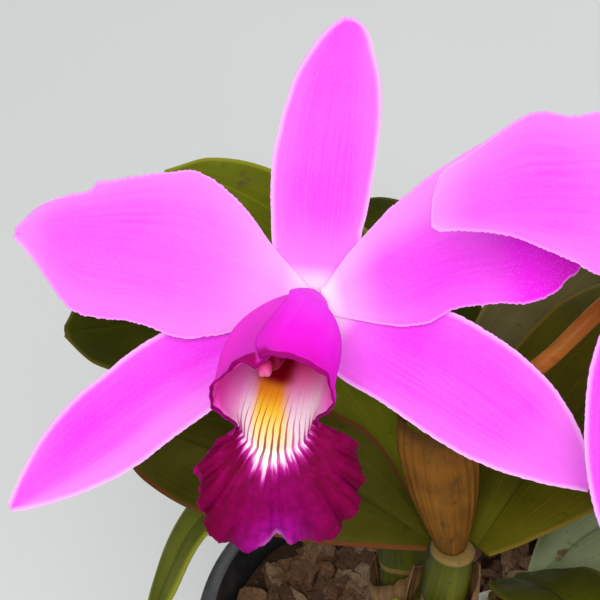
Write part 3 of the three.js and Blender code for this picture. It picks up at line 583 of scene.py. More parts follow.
def pot_material():
    p = Paint("pot_plastic", 0.45)
    height = p.node("SeparateXYZ", {0: p.node("TexCoord", output="Object")}, 2)
    dust = p.noise(60, 6, rough=0.65)
    fine = p.noise(900, 3)
    # lighter band on the rim: partly wear, partly a painted highlight along the rim
    rim_wear_and_highlight = p.times(p.range(height, 0.094, 0.105), p.range(dust, 0.4, 0.62))
    splash = p.times(p.range(height, 0.045, 0, 0, 0.55), p.range(dust, 0.42, 0.65))
    colour = p.layers(
        (0.01, 0.01, 0.011),
        (fine, 0.3, 0.7, 1, (0.02, 0.02, 0.021)),
        (dust, 0.5, 0.75, 0.35, (0.055, 0.05, 0.045)),
        (rim_wear_and_highlight, (0.04, 0.036, 0.04)),
        (splash, (0.1, 0.08, 0.055)))
    p.finish(colour, (dust, 0.34, 0.62), (p.noise(25, 2), 0.5, 0.4), (fine, 0.05, 0.5))


def bark_material():
    p = Paint("bark_chips", 0.25)
    grain, tint = p.attributes("grain", "tint")
    sheets = p.stretched(grain, 40, tint, 30, 5, 0.65)
    rough = p.noise(480, 6, rough=0.7)
    colour = p.layers(
        p.ramp(tint, (0, 0.035, 0.016, 0.008), (0.3, 0.085, 0.038, 0.016), (0.55, 0.16, 0.075, 0.032),
               (0.8, 0.21, 0.115, 0.055), (1, 0.27, 0.18, 0.105)),
        (sheets, 0.45, 0.62, 0.75, (0.03, 0.013, 0.007)),
        (rough, 0.56, 0.72, 0.6, (0.29, 0.19, 0.11)))
    p.finish(colour, (rough, 0.7, 0.95), (sheets, 0.6, 0.8), (rough, 0.7, 0.9))


def root_material():
    p = Paint("root_velamen", 0.3)
    s, kind = p.attributes("along", "kind")
    mottle = p.noise(300, 5, rough=0.6)
    silver = p.layers((0.42, 0.39, 0.31), (mottle, 0.3, 0.7, 1, (0.66, 0.63, 0.55)),
                      (p.noise(110, 3), 0.5, 0.7, 0.6, (0.28, 0.3, 0.12)))
    brown = p.layers((0.1, 0.05, 0.02), (mottle, 0.3, 0.7, 1, (0.27, 0.17, 0.075)),
                     (s, 0.7, 1, 0.5, (0.16, 0.19, 0.04)))
    p.finish(p.mix(kind, brown, silver), (mottle, 0.55, 0.8), (mottle, 0.25, 0.7))


def column_material():
    p = Paint("column_wax", 0.12)
    s, = p.attributes("along")
    mottle = p.noise(700, 3)
    colour = p.layers(
        # pale pink at the foot, then darker and redder towards the end: painted shadow of the hood over the
        # column's end and the anther
        p.ramp(s, (0, 0.92, 0.62, 0.84), (0.4, 0.86, 0.26, 0.55), (0.55, 0.72, 0.055, 0.26), (0.75, 0.2, 0, 0.03)),
        (mottle, 0.5, 0.7, 0.3, (0.36, 0.01, 0.1)))
    p.finish(colour, (mottle, 0.3, 0.45), (mottle, 0.08, 0.5))


def floor_material():
    p = Paint("studio_floor", 0.2)
    p.set("Base Color", p.mix(p.noise(4, 3), (0.6, 0.61, 0.6), (0.64, 0.645, 0.635)))
    p.set("Roughness", 0.8)


YELLOW_RIM = (0.26, 0.27, 0.02)
tepal_material("petal_skin", green=0.085, middle=0.35, pale=0.6, glow=(0.45, 0.75), white=0.13,
               rim=(0.7, 0.45), rim_colour=(0.98, 0.52, 0.96))
tepal_material("sepal_skin", green=0.068, middle=0.2, pale=0.4, glow=(0.3, 0.3), white=0.09,
               rim=(1.3, 0.7), rim_colour=(0.99, 0.62, 0.97))
lip_material()
cane_material()
paper_material("sheath_paper", (0.34, 0.2, 0.085), (0.17, 0.085, 0.03))
paper_material("spathe_paper", (0.21, 0.08, 0.006), (0.12, 0.048, 0.003), strands=0.3)
stalk_material()
pot_material()
bark_material()
root_material()
column_material()
floor_material()
leaf_material("leaf_deep", (0.022, 0.026, 0.0008), (0.052, 0.056, 0.0015), (0.1, 0.085, 0.008))
leaf_material("leaf_olive", (0.034, 0.032, 0.0008), (0.07, 0.064, 0.002), (0.15, 0.1, 0.012))
leaf_material("leaf_dusty", (0.085, 0.072, 0.022), (0.15, 0.13, 0.045), (0.24, 0.2, 0.06))
leaf_material("leaf_bright", (0.095, 0.118, 0.003), (0.165, 0.195, 0.008), YELLOW_RIM)
leaf_material("leaf_grey", (0.09, 0.12, 0.055), (0.18, 0.21, 0.11), (0.22, 0.24, 0.12), gloss=0.28)
leaf_material("leaf_stained", (0.032, 0.031, 0.001), (0.064, 0.06, 0.004), (0.1, 0.045, 0.01), red=0.9)
leaf_material("leaf_fresh", (0.052, 0.062, 0.004), (0.095, 0.11, 0.012), YELLOW_RIM)

# ---------- tepals ----------
TEPAL_LEAN = np.tan(radians(15))
TEPAL_ROWS, TEPAL_COLUMNS = 150, 36
TEPAL_THICKNESS = 0.8
PETAL = {"skin": "petal_skin", "start": 2.6, "cup": 0.8, "ripple": 1.3, "foot": 1.2, "teeth": 0.16, "lobes": 0.22,
         "frill": 0.8, "veins": 46}
SEPAL = {"skin": "sepal_skin", "start": 4, "cup": 0.8, "ripple": 0.6, "foot": 2.2, "teeth": 0.09, "lobes": 0.08,
         "frill": 0.4, "veins": 30}
# half widths to the left and right of the midrib, as (share of the length, millimetres)
TEPALS = {
    "sepal_dorsal": {
        **SEPAL, "angle": 84, "length": 57.5, "bend": 1.2, "depth": (-2.8, 2, 2, -3), "cup": 1.2, "ripple": 0.5,
        "tone": ((-0.15, (0.5, 0.1), None),),
        "left": ((0, 3.6), (0.07, 8.8), (0.13, 9.9), (0.25, 10.5), (0.45, 11), (0.59, 10.2), (0.69, 9.4),
                 (0.77, 8.5), (0.85, 6.8), (0.95, 3.7), (1, 0.8)),
        "right": ((0, 3.6), (0.09, 7.8), (0.22, 8.4), (0.3, 9.2), (0.5, 10), (0.61, 10), (0.71, 9.5),
                  (0.8, 8.3), (0.89, 6.2), (0.97, 3.9), (1, 0.9)),
    },
    "petal_left": {
        **PETAL, "angle": 166.5, "length": 62, "bend": -2.8, "depth": (-1.1, 0, 16, -6), "glow": 1.15,
        "tone": ((-0.22, (0.7, 0.3), None), (-0.08, None, None), (-0.4, (0.82, 1), None)),
        "left": ((0, 2.6), (0.12, 7), (0.27, 13), (0.39, 15.7), (0.57, 15.1), (0.73, 15.3), (0.79, 13.6),
                 (0.85, 9.8), (0.92, 5.2), (1, 0.9)),
        "right": ((0, 3.4), (0.15, 8.3), (0.25, 12.8), (0.35, 16), (0.46, 17.9), (0.55, 16.3), (0.64, 14.4),
                  (0.77, 10.7), (0.84, 9.1), (0.93, 6.9), (1, 1.2)),
    },
    "petal_right": {
        **PETAL, "angle": 14, "length": 56, "bend": 5, "depth": (-1.1, 0, 16, -12), "glow": 1.8,
        # painted shade on the lower half and the tip, in the second bloom's shadow and curling away, and painted
        # light on the upper half
        "tone": ((0.45, (0.05, 0.4), (0.5, -0.2)), (1.35, (0.58, 1), (0.75, -0.1)), (-0.55, None, (-0.1, 0.9))),
        "left": ((0, 3.4), (0.1, 6.6), (0.17, 8.2), (0.3, 11.2), (0.39, 12.9), (0.48, 14.9), (0.57, 16.8),
                 (0.7, 19), (0.85, 16), (0.95, 8), (1, 0.9)),
        "right": ((0, 2.8), (0.11, 7.2), (0.19, 10.2), (0.26, 12.3), (0.35, 13.6), (0.48, 12.7), (0.6, 13.2),
                  (0.71, 13.8), (0.78, 13.2), (0.84, 11.8), (0.9, 8.9), (0.96, 6.2), (1, 1.1)),
    },
    "sepal_lateral_left": {
        **SEPAL, "angle": 213.6, "length": 77.5, "bend": -4, "depth": (-2.8, 2, 6, 0), "droop": 1,
        # painted shade where the petal above shadows this sepal, deeper near the base; paler on the other half
        "tone": ((0.45, (1, 0.7), (0.25, -0.15)), (0.5, (0.4, 0.1), None), (-0.4, None, (0.1, 0.7))),
        "left": ((0, 3), (0.12, 6.4), (0.36, 9.8), (0.54, 10.8), (0.62, 11), (0.69, 10.4), (0.75, 9.3),
                 (0.83, 7.4), (0.95, 3.2), (1, 0.8)),
        "right": ((0, 3), (0.12, 7), (0.3, 9.2), (0.42, 9.5), (0.55, 8.8), (0.67, 8.3), (0.8, 6.8),
                  (0.92, 3.8), (1, 0.9)),
    },
    "sepal_lateral_right": {
        **SEPAL, "angle": -34, "length": 69.5, "bend": 3, "depth": (-2.8, 2, 4, 0), "droop": -1,
        # painted shade: deeper magenta near the base and along the middle, in the right petal's shadow; paler
        # towards the tip
        "tone": ((0.7, (0.35, 0.1), None), (0.4, (0.85, 0.4), (-0.3, 0.4)), (-0.3, (0.5, 0.8), None)),
        "left": ((0, 3), (0.12, 8), (0.3, 11.9), (0.44, 12.4), (0.57, 12.3), (0.72, 11.1), (0.78, 9.9),
                 (0.85, 8.1), (0.92, 5.6), (0.97, 2.9), (1, 0.7)),
        "right": ((0, 3), (0.06, 8), (0.12, 11), (0.27, 11.7), (0.46, 12.6), (0.6, 12), (0.66, 11.1),
                  (0.74, 9.6), (0.82, 7.3), (0.9, 4.7), (0.95, 2.7), (1, 0.7)),
    },
}
TORN_EDGE = ((0, 0), (0.66, 0), (0.72, 0.3), (0.768, 0.9), (0.782, -0.5), (0.85, -0.3), (0.92, -0.8), (1, 0))
BLOOMS = {
    "bloom_one": {"centre": BLOOM_ONE, "roll": 0, "yaw": 0, "droop": 0, "lip_seed": 5,
                  "petal_left": {"torn": profile(TORN_EDGE)}},
    "bloom_two": {
        "centre": np.array([50.4, -34.2, 269.8]), "roll": 9, "yaw": 6, "droop": 38, "lip_seed": 9,
        "petal_left": {
            "angle": 171, "length": 61.5, "bend": -2.2,
            "left": ((0, 2.6), (0.12, 7), (0.3, 12.4), (0.42, 12.6), (0.48, 11.2), (0.62, 7.6), (0.77, 4.7),
                     (0.91, 3.5), (0.97, 3.2), (1, 1.8)),
            "right": ((0, 3.4), (0.15, 8.8), (0.28, 13.6), (0.43, 17.4), (0.55, 16.5), (0.66, 17.1), (0.73, 15.8),
                      (0.83, 12.5), (0.92, 9.3), (0.97, 7.4), (1, 3)),
        },
    },
}


def to_world(bloom, points):
    """From the bloom's own right, up and out directions."""
    yaw, roll = (radians(bloom[k]) for k in ("yaw", "roll"))
    turn_y = np.array([[cos(yaw), 0, sin(yaw)], [0, 1, 0], [-sin(yaw), 0, cos(yaw)]])
    turn_z = np.array([[cos(roll), -sin(roll), 0], [sin(roll), cos(roll), 0], [0, 0, 1]])
    basis = np.stack([RIGHT, UP, OUT], axis=1) @ turn_y @ turn_z
    return np.asarray(points) @ basis.T + bloom["centre"]


def tepal_tone(terms, s, t):
    """Below zero the blade is paler, above zero a deeper magenta. Part of it is the blade's own colour and the rest
    is painted light and shade: deeper where a blade lies in the shadow of another or of the second bloom, or curls
    away from the light, and paler on the side turned to it. A term is its weight, and the limits along and across
    the blade between which it sets in."""
    return sum(weight * (smooth(s, *along) if along else 1) * (smooth(t, *across) if across else 1)
               for weight, along, across in terms)


def make_tepal(bloom_name, name, seed):
    bloom = BLOOMS[bloom_name]
    shape = {**TEPALS[name], **bloom.get(name, {})}
    count, start, blade = TEPAL_ROWS + 1, shape["start"], shape["length"] - shape["start"]
    foot = -shape["foot"] / blade
    places = np.concatenate([[foot, foot / 2], np.linspace(0, 1, count - 2) ** 0.97])
    along, t = grid(start + places * blade, crowded(TEPAL_COLUMNS))
    s = np.maximum(0, (along - start) / blade)
    half = np.where(t > 0, profile(shape["left"])(s), profile(shape["right"])(s))
    rng = np.random.default_rng(seed)
    teeth = np.where(t > 0, rng.uniform(-1, 1, (count, 1)), rng.uniform(-1, 1, (count, 1)))
    fade = smooth(s, 0.12, 0.35)
    margin = abs(t) ** 6
    half = half + margin * fade * (shape["teeth"] * teeth + shape["lobes"] * margins(t, seed + 1, count, 16))
    if "torn" in shape:
        half = half + (t < 0) * margin * shape["torn"](s)
    heading = radians(shape["angle"] + shape.get("droop", 0) * bloom["droop"] * (0.2 + 0.8 * s**0.7))
    across = t * half + shape["bend"] * sin(pi * s)
    x = along * cos(heading) - across * sin(heading)
    y = along * sin(heading) + across * cos(heading)
    depth = shape["depth"]
    z = depth[0] + depth[1] * s + depth[2] * s**2 + depth[3] * s**4
    wave = shape["ripple"] * abs(t) ** 3 * sin(14 * s + 2 * t) * s
    frill = 0.22 * abs(t) ** 5 * fade * margins(t, seed + 3, count, 11)
    channel = -0.35 * bell(t * half, 1.3) * smooth(s, 0.02, 0.2) * smooth(s, 1.0, 0.6)
    veins = 0.05 * cos(t * shape["veins"] + 1.5 * sin(3 * s)) * smooth(abs(t), 0.98, 0.8) * fade
    z = z + shape["cup"] * t**2 * s + wave + shape["frill"] * frill + channel + veins + TEPAL_LEAN * y
    edge = np.minimum((1 - abs(t)) * half, (1 - s) * shape["length"] + 0.2).ravel()
    add_blade(f"{bloom_name}_{name}", "tepal", to_world(bloom, np.stack([x, y, z], -1)),
              grid_faces(TEPAL_ROWS, TEPAL_COLUMNS), TEPAL_THICKNESS * (0.35 + 0.65 * smooth(edge, 0, 1.6)),
              shape["skin"], along=s, across=t, edge=edge, tone=tepal_tone(shape["tone"], s, t),
              base=s * shape.get("glow", 1))


# ---------- lip ----------
TUBE_AXIS = Path([(-0.6, 0.3, 2.4), (-3.6, -3.2, 6), (-6, -8.2, 13), (-7.8, -14.2, 22), (-8.7, -19.4, 30)])
TUBE_RADIUS = profile(((0, 2.8), (0.12, 5), (0.25, 6.7), (0.5, 9.2), (0.8, 10.4), (1, 12)))
TUBE_FLATTEN = 0.86
BULGE_RIGHT, BULGE_LEFT = 1.3, 2.6
ROLL_RIGHT = profile(((0, 184), (0.4, 178), (0.52, 182), (0.65, 191), (0.78, 197), (0.9, 193), (1, 188)))
ROLL_LEFT = profile(((0, 188), (0.5, 188), (0.75, 184), (0.9, 178), (1, 168)))
RIM_SWELL = profile((
    (-1, 0.4), (-0.93, 2.6), (-0.82, 1.6), (-0.6, 0.4), (-0.45, -2.1), (-0.3, -2.6), (-0.15, 0), (0, 0),
    (0.15, -0.4), (0.3, -2.8), (0.42, -1.6), (0.52, -0.8), (0.65, 0.8), (0.8, 1.4), (1, 0.4)))
RIM_REACH = profile((
    (-1, 0.5), (-0.75, 1), (-0.58, 0.5), (-0.45, 0.2), (-0.3, -1), (-0.15, -0.6), (0, 0),
    (0.15, -0.6), (0.3, -2.4), (0.42, -1), (0.6, 0), (0.8, 0.2), (1, -0.8)))
ISTHMUS = 0.3
FAN_HALF_WIDTH, FAN_HALF_HEIGHT = 15.9, 12.4
FAN_CENTRE = (1, -6.6)
FAN_SWEEP_RIGHT, FAN_SWEEP_LEFT = 152, 140
FAN_SIZE = profile((
    (-1, 0.98), (-0.8, 1.05), (-0.55, 1.02), (-0.4, 1.14), (-0.2, 1.17), (0, 0.92), (0.2, 1.03), (0.45, 0.99),
    (0.65, 0.98), (0.88, 1.1), (1, 1)))
FAN_WAVES = 5
FAN_RIPPLE = 1.7
TUBE_ROWS, FAN_ROWS = 64, 52
LOBE_COLUMNS, ISTHMUS_COLUMNS = 60, 176
TUBE_LENGTH, FAN_LENGTH = 32, 13
LIP_THICKNESS = 0.8


def tube_point(u, v, seed=0):
    axis = TUBE_AXIS.tangent(u)
    up = unit(np.array([0.0, 1, 0]) - axis * axis[..., 1:2])
    angle = radians(-90 + v * np.where(v > 0, ROLL_RIGHT(u), ROLL_LEFT(u)))
    lobe = np.maximum(0, abs(v) - ISTHMUS) / (1 - ISTHMUS)
    bulge = np.where(v > 0, BULGE_RIGHT, BULGE_LEFT) * bell(abs(v) - 0.52, 0.2)
    radius = TUBE_RADIUS(u) + np.sign(v) * 0.8 * lobe + bulge * sin(pi * u) + RIM_SWELL(v) * u**6
    flare = smooth(u, 0.86, 1.0) * smooth(lobe, 0.05, 0.3)
    radius = radius + flare * (0.3 * sin(31 * v + seed) + 0.16 * sin(67 * v))
    point = TUBE_AXIS.at(u) + np.cross(up, axis) * (radius * cos(angle))[..., None]
    point = point + up * (radius * sin(angle) * (1 - (1 - TUBE_FLATTEN) * u))[..., None]
    reach = RIM_REACH(v) * u**4 + flare * 0.3 * sin(43 * v + 1)
    return point + axis * reach[..., None]


def fan_point(reach, a, seed):
    isthmus = tube_point(np.ones_like(a), a * ISTHMUS)
    centre = tube_point(np.array(1.0), np.array(0.0))
    angle = radians(-90 + a * np.where(a > 0, FAN_SWEEP_RIGHT, FAN_SWEEP_LEFT))
    notch = 1 - 0.09 * bell(a + 0.03, 0.07) - 0.04 * bell(a + 0.035, 0.025)
    wave = sin(2 * pi * FAN_WAVES * a + 0.5 * np.sign(a) * smooth(abs(a), 0, 0.08))
    fine = sin(2 * pi * 9 * a + seed) + 0.6 * sin(2 * pi * 15.5 * a + 2 * seed)
    tiny = sin(2 * pi * 37 * a + seed)
    size = notch * (FAN_SIZE(a) + 0.03 * wave + 0.014 * fine + 0.007 * tiny)
    margin = np.stack([
        centre[0] + FAN_CENTRE[0] + FAN_HALF_WIDTH * size * cos(angle),
        centre[1] + FAN_CENTRE[1] + FAN_HALF_HEIGHT * size * sin(angle),
        centre[2] - 1.5 - 3.5 * cos(a * 1.6)], -1)
    point = isthmus + (margin - isthmus) * reach[..., None]
    rise = 2.4 * sin(pi * reach) + FAN_RIPPLE * reach**3 * wave
    point[..., 2] += rise + reach**5 * (0.5 * fine + 0.22 * tiny)
    return point


def make_lip(bloom_name, bloom):
    side = ISTHMUS + (1 - ISTHMUS) * steps(LOBE_COLUMNS)[1:] ** 0.85
    middle = steps(ISTHMUS_COLUMNS, -ISTHMUS, ISTHMUS)
    columns = np.concatenate([-side[::-1], middle, side])
    u, v = grid(steps(TUBE_ROWS) ** 0.9, columns)
    reach, a = grid(steps(FAN_ROWS)[1:] ** 0.9, middle / ISTHMUS)
    # the middle lobe grows from the columns of the isthmus in the tube's last row
    first = TUBE_ROWS * len(columns) + LOBE_COLUMNS + np.arange(ISTHMUS_COLUMNS + 1)
    index = np.vstack([first, u.size + np.arange(reach.size).reshape(reach.shape)])
    lobe = np.stack([index[:-1, :-1], index[1:, :-1], index[1:, 1:], index[:-1, 1:]], -1).reshape(-1, 4)
    # about how far each point lies from the open edge
    rolled = np.minimum((1 - u) * TUBE_LENGTH, (1 - abs(v)) * radians(190) * 9.5)
    fan_edge = np.minimum((1 - reach) * FAN_LENGTH, (1 - abs(a)) * 14 * reach + 2)

    def joined(tube, fan, width=1):
        return np.concatenate([tube.reshape(-1, width), fan.reshape(-1, width)])

    edge = joined(np.where(abs(v) < ISTHMUS, 9.0, rolled), fan_edge).ravel()
    points = joined(tube_point(u, v, bloom["lip_seed"]), fan_point(reach, a, bloom["lip_seed"]), 3)
    add_blade(f"{bloom_name}_lip", "lip", to_world(bloom, points),
              np.vstack([grid_faces(TUBE_ROWS, len(columns) - 1), lobe]),
              LIP_THICKNESS * (0.4 + 0.6 * smooth(edge, 0, 2)), "lip_velvet", flow=joined(u, 1 + reach),
              spread=joined(v, a * ISTHMUS), edge=edge, reach=joined(0 * u, reach), turn=joined(v, a))


def make_column(bloom_name, bloom):
    shape = profile(((0, 2), (0.25, 1.9), (0.7, 2.5), (1, 2.4)))
    curve = Path(to_world(bloom, [(0, 0.3, -0.6), (-1.3, -0.3, 4), (-5, -3.8, 12), (-9.6, -10.8, 22.4)]))
    points, faces, s, _ = stem_mesh(
        curve, 40, 24, lambda s, angle: shape(s) * (1 + 0.05 * cos(2 * angle) - 0.04 * cos(3 * angle)), cap=4)
    add_piece(f"{bloom_name}_column", "column", points, faces, "column_wax", along=s)


ANTHER_PLACE = np.array([-10.3, -12, 24.6])
ANTHER_HALF = 2.4


def make_anther(bloom_name, bloom):
    rows, sides = 18, 28
    lat, lon = grid(steps(rows, 0, pi)[1:-1], turns(sides))
    groove = 1 - 0.10 * bell(cos(lon), 0.22) * (sin(lat) > 0.3)
    boxy = (abs(cos(lon)) ** 3 + abs(sin(lon)) ** 3) ** (-1 / 3)
    wide = groove * boxy * sin(lat) ** 0.7
    body = np.stack([1.4 * wide * cos(lon), 1.8 * wide * sin(lon), ANTHER_HALF * cos(lat)], -1)
    cap = np.vstack([body.reshape(-1, 3), [(0, 0, ANTHER_HALF), (0, 0, -ANTHER_HALF)]]) + ANTHER_PLACE
    faces = grid_faces(rows - 2, sides, wrap=True).tolist()
    last = (rows - 2) * sides
    for j in range(sides):
        k = (j + 1) % sides
        faces += [[len(cap) - 2, j, k], [len(cap) - 1, last + k, last + j]]
    # the anther takes the column's darker colours, darkest on its upper side: painted shadow under the hood
    add_piece(f"{bloom_name}_anther_cap", "column", to_world(bloom, cap), faces, "column_wax",
              along=0.49 + 0.10 * smooth(cap[:, 1], -13.2, -11.0))


for number, (bloom_name, bloom) in enumerate(BLOOMS.items()):
    for k, tepal_name in enumerate(TEPALS):
        make_tepal(bloom_name, tepal_name, 100 * (number + 1) + 10 * k)
    for make_part in (make_lip, make_column, make_anther):
        make_part(bloom_name, bloom)

# ---------- canes ----------
# foot, top and radius
CANES = {
    "flowering": ((-5, -31, 99), (2.8, -26.8, 166), 6.6),
    "second": ((-2, -13, 99), (-8, -6, 158), 7.2),
    "third": ((3, 6, 99), (1, 13, 150), 7),
    "oldest": ((9, 25, 99), (13, 30, 140), 6.6),
    "side": ((22, -12, 99), (24, -9, 133), 5.8),
    "new": ((-12, -40, 99.5), (-15, -43, 114), 4.4),
}
CANE_SHAPE = profile(((0, 0.66), (0.15, 0.82), (0.5, 1), (0.8, 0.92), (1, 0.74)))
CANE_NODES = 4
# the shares of the cane where its sheath starts and ends, and the direction that the slit turns away from
SHEATHS = {
    "flowering": (0.4, 0.86, 20), "second": (0.3, 0.7, -60), "third": (0.3, 0.66, 100), "side": (0.35, 0.8, 10),
}


def cane_curve(cane):
    foot, top = (np.array(end, float) for end in CANES[cane][:2])
    return Path([foot, 0.5 * (foot + top) + (0, -1.5, 0), top])


def make_cane(cane, seed):
    def node(s):
        return np.maximum(0, cos(2 * pi * CANE_NODES * s)) ** 6

    def radius(s, angle):
        furrow = 1 - 0.05 * cos(5 * angle) * sin(pi * s)
        creases = 0.012 * cos(17 * angle + 3 * sin(4 * s + seed)) * sin(pi * s)
        groove = -0.35 * bell(cos(2 * pi * CANE_NODES * s) - 1, 0.02)
        return CANES[cane][2] * CANE_SHAPE(s) * (furrow + creases) + 0.5 * node(s) + groove * (0.05 < s < 0.95)

    points, faces, s, angle = stem_mesh(cane_curve(cane), 110, 44, radius, cap=4)
    add_piece(f"cane_{cane}", "cane_skin", points, faces, "cane_skin", along=s,
              around=cos(angle) + 2 * sin(angle), ring=node(s) ** 2)


def add_bract(name, points, u, t, long, wide, material):
    """A dry papery blade with thin edges."""
    edge = np.minimum((1 - u) * long, (1 - abs(t)) * wide).ravel()
    add_blade(name, "dry_bract", points, grid_faces(u.shape[0] - 1, u.shape[1] - 1),
              0.3 + 0.35 * smooth(edge, 0, 3), material, along=u, across=t)


def make_sheath(cane, seed, start, end, turn):
    rows, columns = 32, 84
    u, t = grid(steps(rows), steps(columns, -1))
    torn = 0.06 * sin(5 * t + 2) * u + 0.018 * u**6 * wobble(seed, columns + 1, 24)
    s = start + (end - start) * u + torn
    centre, side, up = cane_curve(cane).frame(s, (0, 1, 0))
    angle = radians(turn) + t * pi * 0.88
    radius = CANES[cane][2] * CANE_SHAPE(s) * 1.05 + 1.7 + 0.9 * u * u * abs(t)
    radius = radius + 0.10 * cos(t * 60 + 2 * sin(3 * u)) + 0.22 * wobble(seed + 1, columns + 1, 9) * u
    points = centre + side * (-radius * cos(angle))[..., None] + up * (radius * sin(angle))[..., None]
    add_bract(f"sheath_{cane}", points, u, t, 20, 20, "sheath_paper")


for number, cane in enumerate(CANES):
    make_cane(cane, number)
for number, (cane, measures) in enumerate(SHEATHS.items()):
    make_sheath(cane, 31 + 2 * number, *measures)

# ---------- leaves ----------
LEAF_SHAPE = profile(((0, 0.15), (0.12, 0.44), (0.35, 0.9), (0.6, 1), (0.82, 0.84), (0.94, 0.52), (1, 0.07)))
LEAF_THICKNESS = 1.4
SOLID_LEAF_THICKNESS = 1.5
LEAF_LIFT = 0.55
LEAF_ROWS, LEAF_COLUMNS = 110, 30
# the foot beside the cane's top, midrib, half width, direction the face looks in, paint; fold and sag if unusual
LEAVES = {
    "flowering_left": ((-6, 0), ((-24, -20, 180), (-50, -7, 177), (-77, 14, 170)), 17.5, (-0.1, -0.3, 1), "stained",
                       0.3, 0.25),
    "flowering_right": ((6, 0), ((24, -15, 186), (46, 4, 199), (72, 30, 200)), 23, (-0.35, -0.4, 0.9), "olive",
                        0.28),
    "second_up": ((3.6, 1), ((-12, 10, 184), (-34, 26, 208.5), (-67, 37, 229.5)), 19, (0.35, -1, 0.45), "bright"),
    "second_left": ((-3.4, 0), ((-30, -9, 170), (-55, -13, 165), (-72, -22, 133)), 7, (-0.3, -0.1, 1), "fresh"),
    "third_left": ((-4, 0), ((-30, 28, 170), (-62, 32, 188), (-92, 20, 194)), 18, (0.2, -0.9, 0.9), "deep"),
    "third_right": ((4, 0), ((26, 30, 174), (50, 52, 187), (74, 74, 182)), 20, (-0.2, -0.7, 1), "dusty"),
    "oldest_left": ((-3.6, 0), ((2, 58, 160), (-12, 78, 172), (-28, 98, 166)), 19, (0, -0.6, 1), "deep"),
    "oldest_right": ((3, 0), ((38, 32, 156), (68, 32, 157), (96, 36, 142)), 18, (0.2, -0.05, 1), "deep"),
    "side_left": ((-3, -1), ((23, -24, 150), (29, -38, 159), (38, -56, 156)), 12, (-0.2, 0.5, 1), "deep", 0.35),
    "side_right": ((3, 0), ((42, -6, 150), (62, -4, 160), (86, -4, 158)), 16, (-0.3, -0.6, 1), "grey"),
    "new_growth": ((0.5, 0), ((-17, -45, 128), (-15, -41, 142), (-10, -33, 155)), 9.5, (0.2, -1, 0.2), "fresh",
                   0.5, 0.1),
}


def make_leaf(name, seed, beside, midrib, half, face, paint, fold=0.3, sag=0.2):
    cane = name.split("_")[0]
    axis = cane_curve(cane).tangent(1.0)
    top = np.array(CANES[cane][1], float)
    rise = unit(np.array(midrib[0]) - top).dot(axis)
    offset = np.array([*beside, 0.0])
    offset = offset + axis * (LEAF_LIFT + 0.8 * SOLID_LEAF_THICKNESS * np.sqrt(1 - rise * rise) - offset.dot(axis))
    s, t = grid(steps(LEAF_ROWS), crowded(LEAF_COLUMNS))
    centre, side, normal = Path([top + offset, *midrib]).frame(s, face)
    away = abs(t)
    rim = margins(t, seed, LEAF_ROWS + 1, 9)
    width = half * LEAF_SHAPE(s) * (1 + 0.012 * rim * away**4 * smooth(s, 0.1, 0.3))
    lift = width * (fold * away - sag * t * t) + 0.8 * t * t * sin(9 * s + 2 * t)
    rounded = np.sqrt(t * t + 0.004) - np.sqrt(0.004) * (1 - away)
    lift = lift + width * fold * (rounded - away)
    lift = lift + 0.06 * cos(24 * t + 2 * sin(2.5 * s)) * smooth(away, 0.95, 0.7) * smooth(s, 0, 0.2)
    lift = lift + 0.35 * rim * t**4 - 0.25 * bell(t * width, 0.8) * smooth(s, 0.03, 0.2)
    points = centre + side * (-t * width)[..., None] + normal * lift[..., None]
    edge = np.minimum((1 - away) * width, (1 - s) * 70 + 0.3).ravel()
    add_blade(f"leaf_{name}", "leaf", points, grid_faces(LEAF_ROWS, LEAF_COLUMNS),
              LEAF_THICKNESS * (0.38 + 0.62 * smooth(edge, 0, 3.5)), f"leaf_{paint}", along=s, across=t, edge=edge)


for number, (name, leaf) in enumerate(LEAVES.items()):
    make_leaf(name, 300 + 5 * number, *leaf)


# ---------- joined stems ----------
def joined_faces(faces, more, offset):
    faces.extend([[k + offset for k in face] for face in more])


def fused(name, parts, voxel, smoothing):
    """Joins overlapping closed meshes into one skin. Returns it and its points."""
    points, faces = [], []
    for part_points, part_faces in parts:
        joined_faces(faces, part_faces, sum(map(len, points)))
        points.append(part_points)
    obj = add_object(name, np.vstack(points), faces)
    remesh = obj.modifiers.new("remesh", "REMESH")
    remesh.mode = "VOXEL"
    remesh.voxel_size = voxel * MM
    relax = obj.modifiers.new("relax", "SMOOTH")
    relax.iterations, relax.factor = smoothing, 0.5
    baked(obj)
    soften(obj.data)
    flat = np.empty(len(obj.data.vertices) * 3)
    obj.data.vertices.foreach_get("co", flat)
    return obj, flat.reshape(-1, 3) / MM


def nearest_share(points, curve, count):
    """For each point, the nearest place on the curve from 0 to 1, and how far away it is."""
    places = np.linspace(0, 1, count)
    gap = np.linalg.norm(points[:, None, :] - curve.at(places)[None], axis=-1)
    return places[gap.argmin(axis=1)], gap.min(axis=1)


def finish_skin(obj, slot, node, material, **attributes):
    add_layers(obj.data, attributes)
    obj.data.materials.append(MATERIALS[material])
    settle(obj, node)


NECK = (-2.4, -25.4, 198)
STALK_RADIUS = 2.1
STALK_SHAPE = profile(((0, 1), (0.45, 0.95), (0.62, 1.1), (0.85, 1.5), (1, 1.7)))
SWINGS = (((-5, -20.5, 209), (-12, -13, 219)), ((0.2, -21.2, 208), (17.5, -20.5, 217.5), (34, -13, 231)))
NECK_SHARE = 0.22


